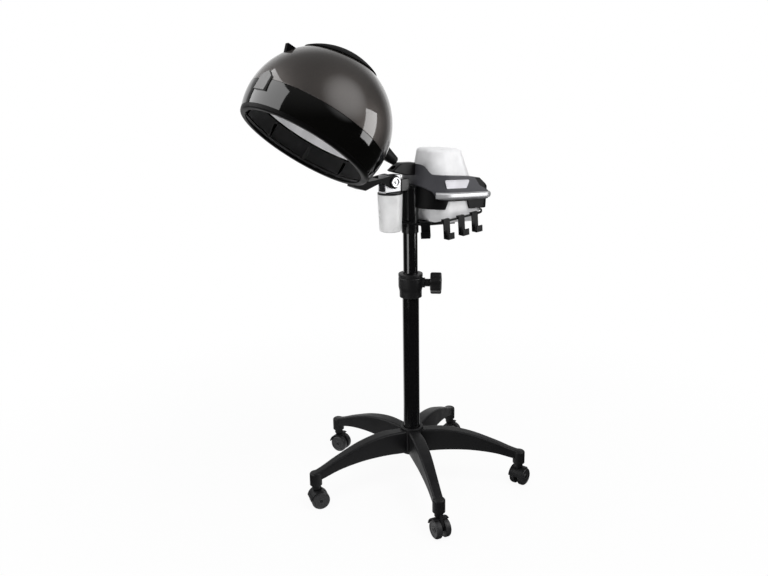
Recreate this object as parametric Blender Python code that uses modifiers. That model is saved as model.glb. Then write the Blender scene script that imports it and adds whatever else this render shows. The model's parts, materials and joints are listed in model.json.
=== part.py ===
"""Salon hair steamer: a tilting hood and a steam unit on a telescopic mast with a five-star caster base.

Metres, +Z up. The hood faces -Y. The origin is on the floor, under the middle of the whole part's box.
"""

import math

import bmesh
import bpy
from mathutils import Matrix, Vector

# Clearances
SEAT_GAP = 0.0003        # between pieces that rest on or in each other
RUN_GAP = 0.0005         # between pieces that turn or slide on each other
FACET_ANGLE = math.radians(35)

# Where the mast stands in the part's box
MAST_X = 0.0082
MAST_Y = 0.0783

# Casters
LEG_COUNT = 5
STAR_TURN = math.radians(-97.5)          # the leg nearest the front, seen from above
WHEEL_RADIUS = 0.025
WHEEL_WIDTH = 0.016
WHEEL_EDGE = 0.004
WHEEL_STEPS = 14
WEB_THICKNESS = 0.009                    # fork plate between the two wheels
FORK_HEIGHT = 0.0425                     # from the axle to the fork's crown
FORK_CROWN_RADIUS = 0.0115
FENDER_THICKNESS = 0.003
TRAIL = 0.008                            # from the stem's axis to the axle
AXLE_RADIUS = 0.003
STEM_RADIUS = 0.0055
STEM_LENGTH = 0.028
CASTER_TRAILS = [72.5, -11.0, 103.5, 23.5, 23.5]   # way each caster trails, in degrees

# Star base, heights counted from the underside of its tip bosses
LEG_REACH = 0.300
LEG_ROOT = 0.0245                        # where the legs start, inside the hub's wall
LEG_OVERRUN = 0.004                      # past the caster's stem
LEG_TOPS = [0.0940, 0.0970, 0.0860, 0.0625, 0.0360]          # evenly spaced from hub to tip
LEG_UNDERSIDES = [0.0300, 0.0380, 0.0390, 0.0305, 0.0130]
LEG_HALF_WIDTHS = [0.0170, 0.0180, 0.0165, 0.0140, 0.0125]
LEG_STEPS = 6
LEG_EDGE = 0.006
LEG_WALL = 0.004
LEG_POCKETS = [(0.17, 0.36), (0.39, 0.58), (0.61, 0.80)]     # hollows between the ribs, as shares of the leg
BOSS_RADIUS = 0.0165
BOSS_HEIGHT = 0.0360
HUB_RADIUS = 0.0320
HUB_UNDERSIDE = 0.0240
HUB_HEIGHT = 0.0765
HUB_FLOOR = 0.013
HUB_EDGE = 0.004
HUB_BOLT_RADIUS = 0.004
HUB_BOLT_HEAD_RADIUS = 0.0085
HUB_BOLT_HEAD = 0.006
HUB_BOLT_LENGTH = 0.029

# Mast
LOWER_TUBE_RADIUS = 0.0226
LOWER_TUBE_WALL = 0.0012
LOWER_TUBE_LENGTH = 0.495
TUBE_END_PLATE = 0.005
UPPER_TUBE_RADIUS = 0.0196
UPPER_TUBE_WALL = 0.0015
UPPER_TUBE_LENGTH = 0.590
MAST_RISE = 0.111                        # from the collar's top to the head's sleeve, as photographed
COLLAR_HEIGHT = 0.065
COLLAR_TOP_RADIUS = 0.0328
COLLAR_FOOT_RADIUS = 0.0300
COLLAR_CAP = 0.011                       # how far the collar stands above the lower tube
COLLAR_EDGE = 0.003
BUSH_FLANGE = 0.0030
BUSH_LENGTH = 0.070
GUIDE_FLANGE = 0.008
GUIDE_SPIGOT = 0.020
GUIDE_BORE = 0.008

# Clamp knob
KNOB_DROP = 0.026                        # of its axis, below the collar's top
KNOB_RADIUS = 0.030
KNOB_WIDTH = 0.029
KNOB_LOBES = 7
KNOB_LOBE_DEPTH = 0.0035
KNOB_EDGE = 0.004
KNOB_NECK_RADIUS = 0.0105
KNOB_NECK = 0.014
KNOB_SCREW_RADIUS = 0.005
COLLAR_BOSS_RADIUS = 0.0135
COLLAR_BOSS_REACH = 0.0390               # from the mast's axis

# Mast head and hinge, heights counted from the foot of the head's sleeve
SLEEVE_RADIUS = 0.0225
SLEEVE_HEIGHT = 0.121
SLEEVE_ROOF = 0.003
HEAD_BLOCK_FRONT = 0.040                 # ahead of the mast's axis
HEAD_BLOCK_HALF_WIDTH = 0.0155
HEAD_BLOCK_TOP = 0.146
PIVOT_FORWARD = 0.0665
PIVOT_RISE = 0.1420
BRACKET_HALF_WIDTH = 0.0160
BRACKET_SHEET = 0.003
BRACKET_REACH = 0.0235                   # ahead of the pivot
BRACKET_FOOT = 0.1138
BRACKET_TOP = 0.1575
BOLT_RADIUS = 0.0045
BOLT_HEAD_RADIUS = 0.0138
BOLT_HEAD_THICKNESS = 0.0055
NUT_RADIUS = 0.0095
NUT_THICKNESS = 0.0065

# Hood, counted from its pivot with the hood level
HOOD_TILT = math.radians(37.3)           # front up, as photographed
HOOD_SETBACK = 0.0828                     # from the pivot to the rear of the dome
HOOD_DROP = 0.0056
DOME_RADIUS = 0.180
DOME_WALL = 0.003
DOME_EDGE = 0.003                        # height of the dome's edge above the hood's middle
BAND_DEPTH = 0.0555
BAND_DRAW = 0.0095                       # how much the band draws in from its top to its foot
BAND_WALL = 0.0035
BAND_LIP = 0.010
BAND_LIP_WALL = 0.0022
RIM_HEIGHT = 0.0095
RIM_REACH = 0.016                        # how far the lip turns in
RIM_SHEET = 0.003
LINER_SPACE = 0.007                      # between the dome and the liner
LINER_WALL = 0.0025
LINER_EDGE = 0.006                       # of the liner's foot above the hood's middle
HOOD_STEPS = 28
ARC_STEPS = 6
ROUND_STEPS = 20                         # round the tubes, sleeves and other bodies of that size

# Trim on the hood
CAP_ANGLE = math.radians(30.5)
CAP_LEAN = math.radians(10)
CAP_THICKNESS = 0.0068
CAP_EDGE = 0.0032                        # thickness at the cap's edge
FIN_ANGLE = math.radians(57)             # from the crown to the front
FIN_TURN = math.radians(-5)              # about the crown axis
FIN_BASE = 0.030
FIN_HEIGHT = 0.016
FIN_THICKNESS = 0.013
TAB_HALF_WIDTH = 0.019
TAB_FOOT = -0.027
TAB_SHOULDER = 0.010
TAB_PEAK = 0.023
TAB_PROUD = 0.0035
TAB_TURN = math.radians(7)               # about the crown axis
INLET_RISE = 0.056                       # of the steam inlet's axis above the hood's middle
INLET_LENGTH = 0.067                     # how far the inlet stands out behind the dome
INLET_ROOT_RADIUS = 0.024
INLET_TIP_RADIUS = 0.011
INLET_BORE = 0.008

# Hood arm, counted from the pivot with the hood level
EAR_RADIUS = 0.0172
EAR_THICKNESS = 0.008
FORK_SLOT = 0.042
ARM_STEP = 0.001                         # how far the ears stand out from the arm's sides

# Steam unit, in its own frame at the foot of the head's sleeve, leaning back
UNIT_PITCH = math.radians(-4)
UNIT_HALF_WIDTH = 0.085
UNIT_FRONT = -0.005
UNIT_REAR = 0.210
UNIT_NOSE_RADIUS = 0.070
UNIT_TAIL_RADIUS = 0.030
BEZEL_FOOT = 0.0925
BEZEL_NOSE_FOOT = 0.142
BEZEL_TOP = 0.182
BEZEL_SIDE_TOP = 0.1550
BEZEL_WALL = 0.0050
BEZEL_FILLET = 0.012
CHASSIS_FOOT = 0.067
CHASSIS_TOP = 0.1485
DECK = 0.020
REAR_SLOPE_START = 0.162                 # where the deck starts to fall to the tail
REAR_SLOPE_END = 0.114                   # its height at the tail
TUB_HALF_WIDTH = 0.0735
TUB_FRONT = 0.030
TUB_REAR = 0.190
TUB_NOSE_RADIUS = 0.045
TUB_TAIL_RADIUS = 0.026
TUB_TOP = 0.0915
TUB_FOOT = 0.030
TUB_WALL = 0.0025
TUB_TAPER = 0.84
TUB_BULGE = 0.062                        # height where the tub starts to draw in
CAVITY_INSET = 0.006
NOTCH_MIDDLE = 0.092
NOTCH_HALF_TOP = 0.034
NOTCH_HALF_FOOT = 0.042
NOTCH_TOP = 0.0885
TANK_HALF_WIDTH = 0.063
TANK_FRONT = 0.024
TANK_REAR = 0.158
TANK_NOSE_RADIUS = 0.045
TANK_TAIL_RADIUS = 0.030
TANK_HEIGHT = 0.074
TANK_WALL = 0.0025
TANK_EDGE = 0.010
TANK_TOP_SHRINK = 0.80
TANK_TOP_SHIFT = -0.008                  # the roof sits forward of the foot
TANK_PLAY = 0.001
TANK_NECK_RADIUS = 0.016
TANK_MOUTH = 0.010                       # height of the valve cap
WINDOW_MIDDLE = 0.080
WINDOW_HALF_TOP = 0.043
WINDOW_HALF_FOOT = 0.034
WINDOW_FOOT = 0.1225
WINDOW_TOP = 0.1450
WINDOW_DEPTH = 0.0015
BAR_FOOT = 0.0955
BAR_TOP = 0.1125
BAR_PROUD = 0.0075
BAR_NOSE_WRAP = math.radians(38)
BAR_TAIL_WRAP = math.radians(32)
NOZZLE_HALF_WIDTH = 0.0145
NOZZLE_MOUTH_RADIUS = 0.0075
NOZZLE_MOUTH_DEPTH = 0.016
TONGUE_HALF_WIDTH = 0.030
TONGUE_REACH = 0.130
TONGUE_THICKNESS = 0.010

# Inside the unit
BOILER_Y = 0.082
BOILER_RADIUS = 0.036
BOILER_FOOT = 0.0425
BOILER_TOP = 0.104
HEATER_THICKNESS = 0.0095
PIPE_RADIUS = 0.005
PIPE_BORE = 0.0035
PIPE_CROSSING = 0.0105                   # where the pipe's axis crosses the chassis deck
PIPE_SLOPE = math.radians(50.6)
BOARD_SIZE = (0.070, 0.0016, 0.038)
BOARD_STANDOFF = 0.006
BOARD_POST_RADIUS = 0.004

# Rear of the unit
SWITCH_SIZE = (0.020, 0.012, 0.0130)
SWITCH_PLAY = 0.0012
SWITCH_RISE = 0.079
SWITCH_X = 0.030
GLAND_RADIUS = 0.0085
GLAND_LENGTH = 0.014
GLAND_BORE = 0.0045
GLAND_RISE = 0.0745
GLAND_X = -0.030

# Drain cup
CUP_FORWARD = 0.0650
CUP_RADIUS = 0.0322
CUP_FOOT_RADIUS = 0.0290
CUP_WALL = 0.0015
CUP_HEIGHT = 0.0975
CUP_EDGE = 0.005
LID_THICKNESS = 0.0043
LID_SPIGOT = 0.008

# Accessory rack
RACK_RISE = 0.030                        # at the mast's axis
RACK_PITCH = math.radians(4)             # rises to the rear
RACK_HEIGHT = 0.006
RACK_SHEET = 0.003
RACK_HALF_WIDTH = 0.0900
RACK_REAR = 0.200
RACK_NOSE_RADIUS = 0.062
RACK_TAIL_RADIUS = 0.045
HOOK_PLACES = [0.047, 0.098, 0.145]
HOOK_WIDTH = 0.022
HOOK_SHEET = 0.0032
HOOK_DROP = 0.042
HOOK_GAP = 0.013
HOOK_TIP = 0.014

# Heights that follow from the sizes above
BASE_Z = WHEEL_RADIUS + FORK_HEIGHT + RUN_GAP
HUB_Z = BASE_Z + HUB_UNDERSIDE
TUBE_Z = HUB_Z + HUB_FLOOR + SEAT_GAP
TUBE_TOP_Z = TUBE_Z + LOWER_TUBE_LENGTH
COLLAR_TOP_Z = TUBE_TOP_Z + COLLAR_CAP
HEAD_Z = COLLAR_TOP_Z + MAST_RISE
MAST_TOP_Z = HEAD_Z + SLEEVE_HEIGHT - SLEEVE_ROOF - SEAT_GAP
MAST_FOOT_Z = MAST_TOP_Z - UPPER_TUBE_LENGTH
KNOB_ANGLE = STAR_TURN + 2 * 2 * math.pi / LEG_COUNT     # along the second leg from the front

# Hood sizes that follow from the dome
HOOD_REACH = DOME_RADIUS + HOOD_SETBACK
BAND_FOOT_RADIUS = DOME_RADIUS - BAND_DRAW
LINER_RADIUS = DOME_RADIUS - DOME_WALL - LINER_SPACE
INLET_TIP = DOME_RADIUS + INLET_LENGTH


for old in list(bpy.data.objects):
    bpy.data.objects.remove(old, do_unlink=True)


def new_collection(name):
    collection = bpy.data.collections.new(name)
    bpy.context.scene.collection.children.link(collection)
    return collection


PARTS = new_collection("hair_steamer")
TOOLS = new_collection("cutters")


def new_finish(name, colour, roughness, metallic=0.0):
    finish = bpy.data.materials.new(name)
    finish.use_nodes = True
    shader = finish.node_tree.nodes["Principled BSDF"]
    shader.inputs["Base Color"].default_value = (*colour, 1.0)
    shader.inputs["Roughness"].default_value = roughness
    shader.inputs["Metallic"].default_value = metallic
    return finish


BASE_BLACK = new_finish("base_black_nylon", (0.018, 0.018, 0.019), 0.50)
TUBE_BLACK = new_finish("tube_black_enamel", (0.010, 0.010, 0.011), 0.25)
MOULDED_BLACK = new_finish("moulded_black", (0.012, 0.012, 0.013), 0.45)
GLOSS_BLACK = new_finish("gloss_black", (0.006, 0.006, 0.006), 0.08)
DOME_BROWN = new_finish("dome_brown_grey", (0.060, 0.052, 0.048), 0.22, 0.6)
LINER_GREY = new_finish("liner_pale_grey", (0.55, 0.55, 0.56), 0.45)
BEZEL_GREY = new_finish("bezel_dark_grey", (0.055, 0.055, 0.062), 0.42)
UNIT_WHITE = new_finish("unit_white", (0.80, 0.80, 0.81), 0.38)
TANK_WHITE = new_finish("tank_white", (0.82, 0.82, 0.84), 0.30)
WINDOW_PALE = new_finish("window_pale", (0.72, 0.71, 0.76), 0.20)
CHROME = new_finish("chrome", (0.78, 0.78, 0.79), 0.10, 1.0)
ZINC = new_finish("zinc_plate", (0.52, 0.52, 0.53), 0.35, 0.8)
STEEL = new_finish("steel", (0.42, 0.42, 0.43), 0.35, 1.0)
CAST_ALUMINIUM = new_finish("cast_aluminium", (0.60, 0.60, 0.61), 0.45, 1.0)
BOARD_GREEN = new_finish("board_green", (0.03, 0.16, 0.07), 0.50)


def new_empty(name, parent=None, place=(0.0, 0.0, 0.0), turn=(0.0, 0.0, 0.0)):
    empty = bpy.data.objects.new(name, None)
    empty.location = place
    empty.rotation_euler = turn
    empty.parent = parent
    PARTS.objects.link(empty)
    return empty


def new_piece(name, bm, finish=None, parent=None, place=(0.0, 0.0, 0.0), turn=(0.0, 0.0, 0.0)):
    """Object from a bmesh; without a finish it is a tool for cutting or joining."""
    mesh = bpy.data.meshes.new(name)
    bm.to_mesh(mesh)
    bm.free()
    piece = bpy.data.objects.new(name, mesh)
    piece.location = place
    piece.rotation_euler = turn
    piece.parent = parent
    if finish is None:
        TOOLS.objects.link(piece)
        piece.hide_render = True
        piece.display_type = 'WIRE'
    else:
        PARTS.objects.link(piece)
        mesh.materials.append(finish)
    return piece


def turned(name, outline, steps, finish=None, closed=True, **placing):
    """Outline of (radius, height) points turned about Z; a closed one is a ring."""
    bm = bmesh.new()
    points = [bm.verts.new((radius, 0.0, height)) for radius, height in outline]
    for upper, lower in zip(points, points[1:]):
        bm.edges.new((upper, lower))
    if closed:
        bm.edges.new((points[-1], points[0]))
    piece = new_piece(name, bm, finish, **placing)
    screw = piece.modifiers.new("turn", 'SCREW')
    screw.steps = steps
    screw.render_steps = steps
    screw.use_merge_vertices = True
    screw.merge_threshold = 0.00001
    return piece


PLANES = {
    'XY': Matrix(((1, 0, 0), (0, 1, 0), (0, 0, 1))),
    'YZ': Matrix(((0, 0, 1), (1, 0, 0), (0, 1, 0))),
    'ZX': Matrix(((0, 1, 0), (0, 0, 1), (1, 0, 0))),
}


def prism(name, outline, low, high, finish=None, plane='XY', edge=0.0, **placing):
    """Flat outline, anticlockwise in its plane, raised from low to high along the plane's normal."""
    bm = bmesh.new()
    face = bm.faces.new([bm.verts.new((u, v, low)) for u, v in outline])
    raised = bmesh.ops.extrude_face_region(bm, geom=[face])['geom']
    tops = [item for item in raised if isinstance(item, bmesh.types.BMVert)]
    bmesh.ops.translate(bm, vec=(0.0, 0.0, high - low), verts=tops)
    bm.transform(PLANES[plane].to_4x4())
    bmesh.ops.recalc_face_normals(bm, faces=bm.faces)
    if bm.calc_volume(signed=True) < 0:
        bmesh.ops.reverse_faces(bm, faces=bm.faces)
    piece = new_piece(name, bm, finish, **placing)
    if edge:
        round_edges(piece, edge)
    return piece


def round_edges(piece, width, segments=1):
    bevel = piece.modifiers.new("edges", 'BEVEL')
    bevel.width = width
    bevel.segments = segments
    bevel.limit_method = 'ANGLE'
    bevel.angle_limit = FACET_ANGLE
    return bevel


def box(name, low, high, finish=None, edge=0.0, **placing):
    bm = bmesh.new()
    bmesh.ops.create_cube(bm, size=1.0)
    middle = (Vector(low) + Vector(high)) / 2
    size = Vector(high) - Vector(low)
    bmesh.ops.scale(bm, vec=size, verts=bm.verts)
    bmesh.ops.translate(bm, vec=middle, verts=bm.verts)
    piece = new_piece(name, bm, finish, **placing)
    if edge:
        round_edges(piece, edge)
    return piece


def rod_tool(name, radius, low, high, axis='Z', steps=24, **placing):
    """Plain cylinder tool from low to high along an axis of its parent."""
    bm = bmesh.new()
    bmesh.ops.create_cone(bm, cap_ends=True, segments=steps, radius1=radius, radius2=radius, depth=high - low)
    bmesh.ops.translate(bm, vec=(0.0, 0.0, (low + high) / 2), verts=bm.verts)
    turns = {'X': Matrix.Rotation(math.pi / 2, 3, 'Y'), 'Y': Matrix.Rotation(-math.pi / 2, 3, 'X'), 'Z': Matrix()}
    bm.transform(turns[axis].to_4x4())
    return new_piece(name, bm, **placing)


def combine(piece, operation, *tools):
    for tool in tools:
        step = piece.modifiers.new(tool.name, 'BOOLEAN')
        step.operation = operation
        step.object = tool


def arc(middle, radius, start, end, steps):
    """Points on an arc, angles in radians, both ends included."""
    turns = [start + (end - start) * step / steps for step in range(steps + 1)]
    return [(middle[0] + radius * math.cos(turn), middle[1] + radius * math.sin(turn)) for turn in turns]


def filleted(corners, radius, steps=3):
    """Outline with each corner rounded to one radius, limited by the sides that meet there."""
    outline = []
    for index, corner in enumerate(corners):
        here = Vector(corner)
        before = Vector(corners[index - 1]) - here
        after = Vector(corners[(index + 1) % len(corners)]) - here
        half = before.angle(after) / 2
        reach = min(radius / math.tan(half), 0.45 * before.length, 0.45 * after.length)
        start = here + before.normalized() * reach
        end = here + after.normalized() * reach
        for step in range(steps + 1):
            share = step / steps
            outline.append(tuple((1 - share) ** 2 * start + 2 * share * (1 - share) * here + share ** 2 * end))
    return outline


def plan(half_width, front, rear, nose, tail, grow=0.0, steps=4):
    """Rounded plan outline, anticlockwise from the rear right, offset outwards by grow."""
    quarter = math.pi / 2
    right = half_width - tail
    outline = arc((right, rear - tail), tail + grow, 0.0, quarter, steps)
    outline += arc((-right, rear - tail), tail + grow, quarter, 2 * quarter, steps)
    left = half_width - nose
    outline += arc((-left, front + nose), nose + grow, 2 * quarter, 3 * quarter, steps)
    outline += arc((left, front + nose), nose + grow, 3 * quarter, 4 * quarter, steps)
    return outline


def unit_plan(grow=0.0):
    return plan(UNIT_HALF_WIDTH, UNIT_FRONT, UNIT_REAR, UNIT_NOSE_RADIUS, UNIT_TAIL_RADIUS, grow)


def tub_plan(grow=0.0):
    return plan(TUB_HALF_WIDTH, TUB_FRONT, TUB_REAR, TUB_NOSE_RADIUS, TUB_TAIL_RADIUS, grow)


def tank_plan(grow=0.0):
    return plan(TANK_HALF_WIDTH, TANK_FRONT, TANK_REAR, TANK_NOSE_RADIUS, TANK_TAIL_RADIUS, grow)


def through(stations, share):
    """Smooth value at a share of the way along evenly spaced stations."""
    place = min(max(share, 0.0), 1.0) * (len(stations) - 1)
    index = min(int(place), len(stations) - 2)
    along = place - index
    before = stations[max(index - 1, 0)]
    start, end = stations[index], stations[index + 1]
    after = stations[min(index + 2, len(stations) - 1)]
    slope_in = (end - before) / 2
    slope_out = (after - start) / 2
    rise = end - start
    curve = 3 * rise - 2 * slope_in - slope_out
    twist = slope_in + slope_out - 2 * rise
    return start + along * (slope_in + along * (curve + along * twist))


# Frames that carry the pieces: the mast's foot, the unit's seat and the hood's pivot
mast = new_empty("mast_axis", place=(MAST_X, MAST_Y, 0.0))
head = new_empty("mast_head_frame", mast, (0.0, 0.0, HEAD_Z))
unit = new_empty("unit_frame", head, turn=(UNIT_PITCH, 0.0, 0.0))
pivot = new_empty("hood_pivot", head, (0.0, -PIVOT_FORWARD, PIVOT_RISE), (-HOOD_TILT, 0.0, 0.0))
HOOD_MIDDLE = (0.0, -HOOD_REACH, -HOOD_DROP)


# Star base: hub, five arched legs with tip bosses, pockets between ribs underneath
def leg_section(share, inset):
    """Corners across a leg as (side, height), seen from its tip; an inset gives a pocket's core."""
    half_width = through(LEG_HALF_WIDTHS, share) - inset
    top = through(LEG_TOPS, share) - inset
    underside = through(LEG_UNDERSIDES, share) - inset
    edge = max(LEG_EDGE - 2 * inset, 0.0)
    right = [(half_width, underside), (half_width, top)]
    if edge:
        right[1:] = arc((half_width - edge, top - edge), edge, 0.0, math.pi / 2, 2)
    return right + [(-side, height) for side, height in reversed(right)]


def leg_block(name, steps, start=0.0, end=1.0, inset=0.0):
    """Stretch of a leg lofted along +X from the mast's axis."""
    bm = bmesh.new()
    rings = []
    for step in range(steps + 1):
        share = start + (end - start) * step / steps
        reach = LEG_ROOT + share * (LEG_REACH + LEG_OVERRUN - LEG_ROOT)
        rings.append([bm.verts.new((reach, side, height)) for side, height in leg_section(share, inset)])
    for near, far in zip(rings, rings[1:]):
        for index in range(len(near)):
            bm.faces.new((near[index - 1], near[index], far[index], far[index - 1]))
    bm.faces.new(rings[0])
    bm.faces.new(rings[-1])
    bmesh.ops.recalc_face_normals(bm, faces=bm.faces)
    bmesh.ops.triangulate(bm, faces=bm.faces)
    return new_piece(name, bm, parent=mast, place=(0.0, 0.0, BASE_Z))


hub_bore = LOWER_TUBE_RADIUS + SEAT_GAP
star_base = turned("star_base", [
    (HUB_RADIUS - HUB_EDGE, HUB_HEIGHT), (HUB_RADIUS, HUB_HEIGHT - HUB_EDGE), (HUB_RADIUS, 0.0),
    (HUB_BOLT_RADIUS + SEAT_GAP, 0.0), (HUB_BOLT_RADIUS + SEAT_GAP, HUB_FLOOR), (hub_bore, HUB_FLOOR),
    (hub_bore, HUB_HEIGHT)], ROUND_STEPS, BASE_BLACK, parent=mast, place=(0.0, 0.0, HUB_Z))
legs = []
hollows = []
for index in range(LEG_COUNT):
    heading = STAR_TURN + index * 2 * math.pi / LEG_COUNT
    leg = leg_block("leg_%d" % (index + 1), LEG_STEPS)
    leg.rotation_euler.z = heading
    tip = Vector((LEG_REACH * math.cos(heading), LEG_REACH * math.sin(heading), BASE_Z))
    boss = turned("boss_%d" % (index + 1), [
        (0.0, BOSS_HEIGHT), (BOSS_RADIUS - LEG_EDGE, BOSS_HEIGHT), (BOSS_RADIUS, BOSS_HEIGHT - LEG_EDGE),
        (BOSS_RADIUS, 0.0), (0.0, 0.0)], 12, closed=False, parent=mast, place=tip)
    legs += [leg, boss]
    for number, (start, end) in enumerate(LEG_POCKETS):
        pocket = leg_block("pocket_%d_%d" % (index + 1, number + 1), 2, start, end, LEG_WALL)
        pocket.rotation_euler.z = heading
        hollows.append(pocket)
    hollows.append(rod_tool("stem_hole_%d" % (index + 1), STEM_RADIUS + RUN_GAP, -0.01, STEM_LENGTH + RUN_GAP,
                            steps=10, parent=mast, place=tip))
combine(star_base, 'UNION', *legs)
combine(star_base, 'DIFFERENCE', *hollows)

turned("hub_bolt", [
    (0.0, HUB_BOLT_LENGTH), (HUB_BOLT_RADIUS, HUB_BOLT_LENGTH), (HUB_BOLT_RADIUS, 0.0),
    (HUB_BOLT_HEAD_RADIUS, 0.0), (HUB_BOLT_HEAD_RADIUS, -HUB_BOLT_HEAD), (0.0, -HUB_BOLT_HEAD),
], 12, STEEL, closed=False, parent=mast, place=(0.0, 0.0, HUB_Z - SEAT_GAP))


# Casters: fork with stem and axle pin, and two wheels on it
def caster_fork_mesh():
    """Fork with its stem's axis on Z, trailing along +X, crown at height zero."""
    axle_z = -FORK_HEIGHT
    fender_radius = WHEEL_RADIUS + RUN_GAP * 2
    web = [
        (TRAIL - 0.008, axle_z - 0.009), (TRAIL + 0.008, axle_z - 0.009), (TRAIL + 0.016, axle_z + 0.010),
        (FORK_CROWN_RADIUS - 0.001, -0.001), (0.001 - FORK_CROWN_RADIUS, -0.001), (0.001 - FORK_CROWN_RADIUS, -0.010)]
    flat = [(z, x) for x, z in reversed(web)]
    fork = prism("fork_web", flat, -WEB_THICKNESS / 2, WEB_THICKNESS / 2, plane='ZX')
    stem = turned("fork_stem", [
        (0.0, STEM_LENGTH), (STEM_RADIUS, STEM_LENGTH), (STEM_RADIUS, 0.0), (FORK_CROWN_RADIUS, 0.0), (FORK_CROWN_RADIUS, -0.012), (0.0, -0.012)], 8, closed=False)
    half_width = WEB_THICKNESS / 2 + RUN_GAP + WHEEL_WIDTH
    outer = arc((TRAIL, axle_z), fender_radius + FENDER_THICKNESS, math.radians(75), math.radians(170), 4)
    inner = arc((TRAIL, axle_z), fender_radius, math.radians(170), math.radians(75), 4)
    shell = [(z, x) for x, z in reversed(outer + inner)]
    fender = prism("fork_fender", shell, -half_width, half_width, plane='ZX')
    axle = rod_tool("fork_axle", AXLE_RADIUS, -half_width, half_width, 'Y', 8, place=(TRAIL, 0.0, axle_z))
    combine(fork, 'UNION', stem, fender, axle)
    bpy.context.view_layer.update()
    settled = fork.evaluated_get(bpy.context.evaluated_depsgraph_get())
    mesh = bpy.data.meshes.new_from_object(settled)
    mesh.name = "caster_fork"
    for tool in (fork, stem, fender, axle):
        bpy.data.objects.remove(tool, do_unlink=True)
    return mesh


def wheel_outline():
    bore = AXLE_RADIUS + RUN_GAP
    rim = WHEEL_RADIUS
    return [(rim - WHEEL_EDGE, WHEEL_WIDTH), (rim, WHEEL_WIDTH - WHEEL_EDGE), (rim, 0.0), (bore, 0.0),
            (bore, WHEEL_WIDTH)]


fork_mesh = caster_fork_mesh()
fork_mesh.materials.append(BASE_BLACK)
for index in range(LEG_COUNT):
    heading = STAR_TURN + index * 2 * math.pi / LEG_COUNT
    stem_foot = (LEG_REACH * math.cos(heading), LEG_REACH * math.sin(heading), BASE_Z - RUN_GAP)
    swivel = new_empty("caster_swivel_%d" % (index + 1), mast, stem_foot,
                       (0.0, 0.0, math.radians(CASTER_TRAILS[index])))
    fork = bpy.data.objects.new("caster_fork_%d" % (index + 1), fork_mesh)
    fork.parent = swivel
    PARTS.objects.link(fork)
    for side, way in (("left", 1), ("right", -1)):
        turned("caster_wheel_%s_%d" % (side, index + 1), wheel_outline(), WHEEL_STEPS, BASE_BLACK, parent=swivel,
               place=(TRAIL, way * (WEB_THICKNESS / 2 + RUN_GAP), -FORK_HEIGHT),
               turn=(-way * math.pi / 2, math.pi / 2, 0.0))


# Lower tube, collar and the bushes that the upper tube slides in
tube_inner = LOWER_TUBE_RADIUS - LOWER_TUBE_WALL
lower_tube = turned("lower_tube", [
    (LOWER_TUBE_RADIUS, LOWER_TUBE_LENGTH), (LOWER_TUBE_RADIUS, 0.0), (HUB_BOLT_RADIUS + SEAT_GAP, 0.0),
    (HUB_BOLT_RADIUS + SEAT_GAP, TUBE_END_PLATE), (tube_inner, TUBE_END_PLATE), (tube_inner, LOWER_TUBE_LENGTH),
], ROUND_STEPS, TUBE_BLACK, parent=mast, place=(0.0, 0.0, TUBE_Z))

bush_bore = UPPER_TUBE_RADIUS + RUN_GAP
collar_bush = turned("collar_bush", [
    (LOWER_TUBE_RADIUS - SEAT_GAP, SEAT_GAP + BUSH_FLANGE), (LOWER_TUBE_RADIUS - SEAT_GAP, SEAT_GAP),
    (tube_inner - SEAT_GAP, SEAT_GAP), (tube_inner - SEAT_GAP, -BUSH_LENGTH), (bush_bore, -BUSH_LENGTH),
    (bush_bore, SEAT_GAP + BUSH_FLANGE)], ROUND_STEPS, MOULDED_BLACK, parent=mast, place=(0.0, 0.0, TUBE_TOP_Z))

collar_bore = LOWER_TUBE_RADIUS + SEAT_GAP
collar_step = BUSH_FLANGE + 2 * SEAT_GAP - COLLAR_CAP
height_collar = turned("height_collar", [
    (COLLAR_TOP_RADIUS - COLLAR_EDGE, 0.0), (COLLAR_TOP_RADIUS, -COLLAR_EDGE),
    (COLLAR_TOP_RADIUS, -COLLAR_HEIGHT * 0.55), (COLLAR_FOOT_RADIUS, -COLLAR_HEIGHT * 0.75),
    (COLLAR_FOOT_RADIUS, -COLLAR_HEIGHT),
    (collar_bore, -COLLAR_HEIGHT), (collar_bore, collar_step), (bush_bore + RUN_GAP, collar_step),
    (bush_bore + RUN_GAP, 0.0)], ROUND_STEPS, MOULDED_BLACK, parent=mast, place=(0.0, 0.0, COLLAR_TOP_Z))
knob_frame = new_empty("knob_axis", mast, (0.0, 0.0, COLLAR_TOP_Z - KNOB_DROP), (0.0, 0.0, KNOB_ANGLE))
collar_boss = rod_tool("collar_boss", COLLAR_BOSS_RADIUS, collar_bore + COLLAR_EDGE, COLLAR_BOSS_REACH, 'X', 16,
                       parent=knob_frame)
screw_space = rod_tool("screw_space", KNOB_SCREW_RADIUS + RUN_GAP, 0.0, KNOB_RADIUS * 2, 'X', 12,
                       parent=knob_frame)
combine(height_collar, 'UNION', collar_boss)
combine(height_collar, 'DIFFERENCE', screw_space)
combine(lower_tube, 'DIFFERENCE', screw_space)
combine(collar_bush, 'DIFFERENCE', screw_space)


# Clamp knob: lobed grip, neck and clamp screw in one piece, turning about the knob's axis
def lobed_grip():
    bm = bmesh.new()
    bmesh.ops.create_cone(bm, cap_ends=True, segments=KNOB_LOBES * 4, radius1=KNOB_RADIUS, radius2=KNOB_RADIUS,
                          depth=KNOB_WIDTH)
    for vert in bm.verts:
        wave = math.cos(KNOB_LOBES * math.atan2(vert.co.y, vert.co.x))
        vert.co.xy *= 1 - KNOB_LOBE_DEPTH / KNOB_RADIUS * (1 - wave) / 2
    ends = [edge for edge in bm.edges if abs(edge.verts[0].co.z - edge.verts[1].co.z) < 0.001]
    bmesh.ops.bevel(bm, geom=ends, offset=KNOB_EDGE, segments=2, profile=0.5, affect='EDGES', material=-1)
    bm.transform(Matrix.Rotation(math.pi / 2, 4, 'Y'))
    return bm


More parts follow.
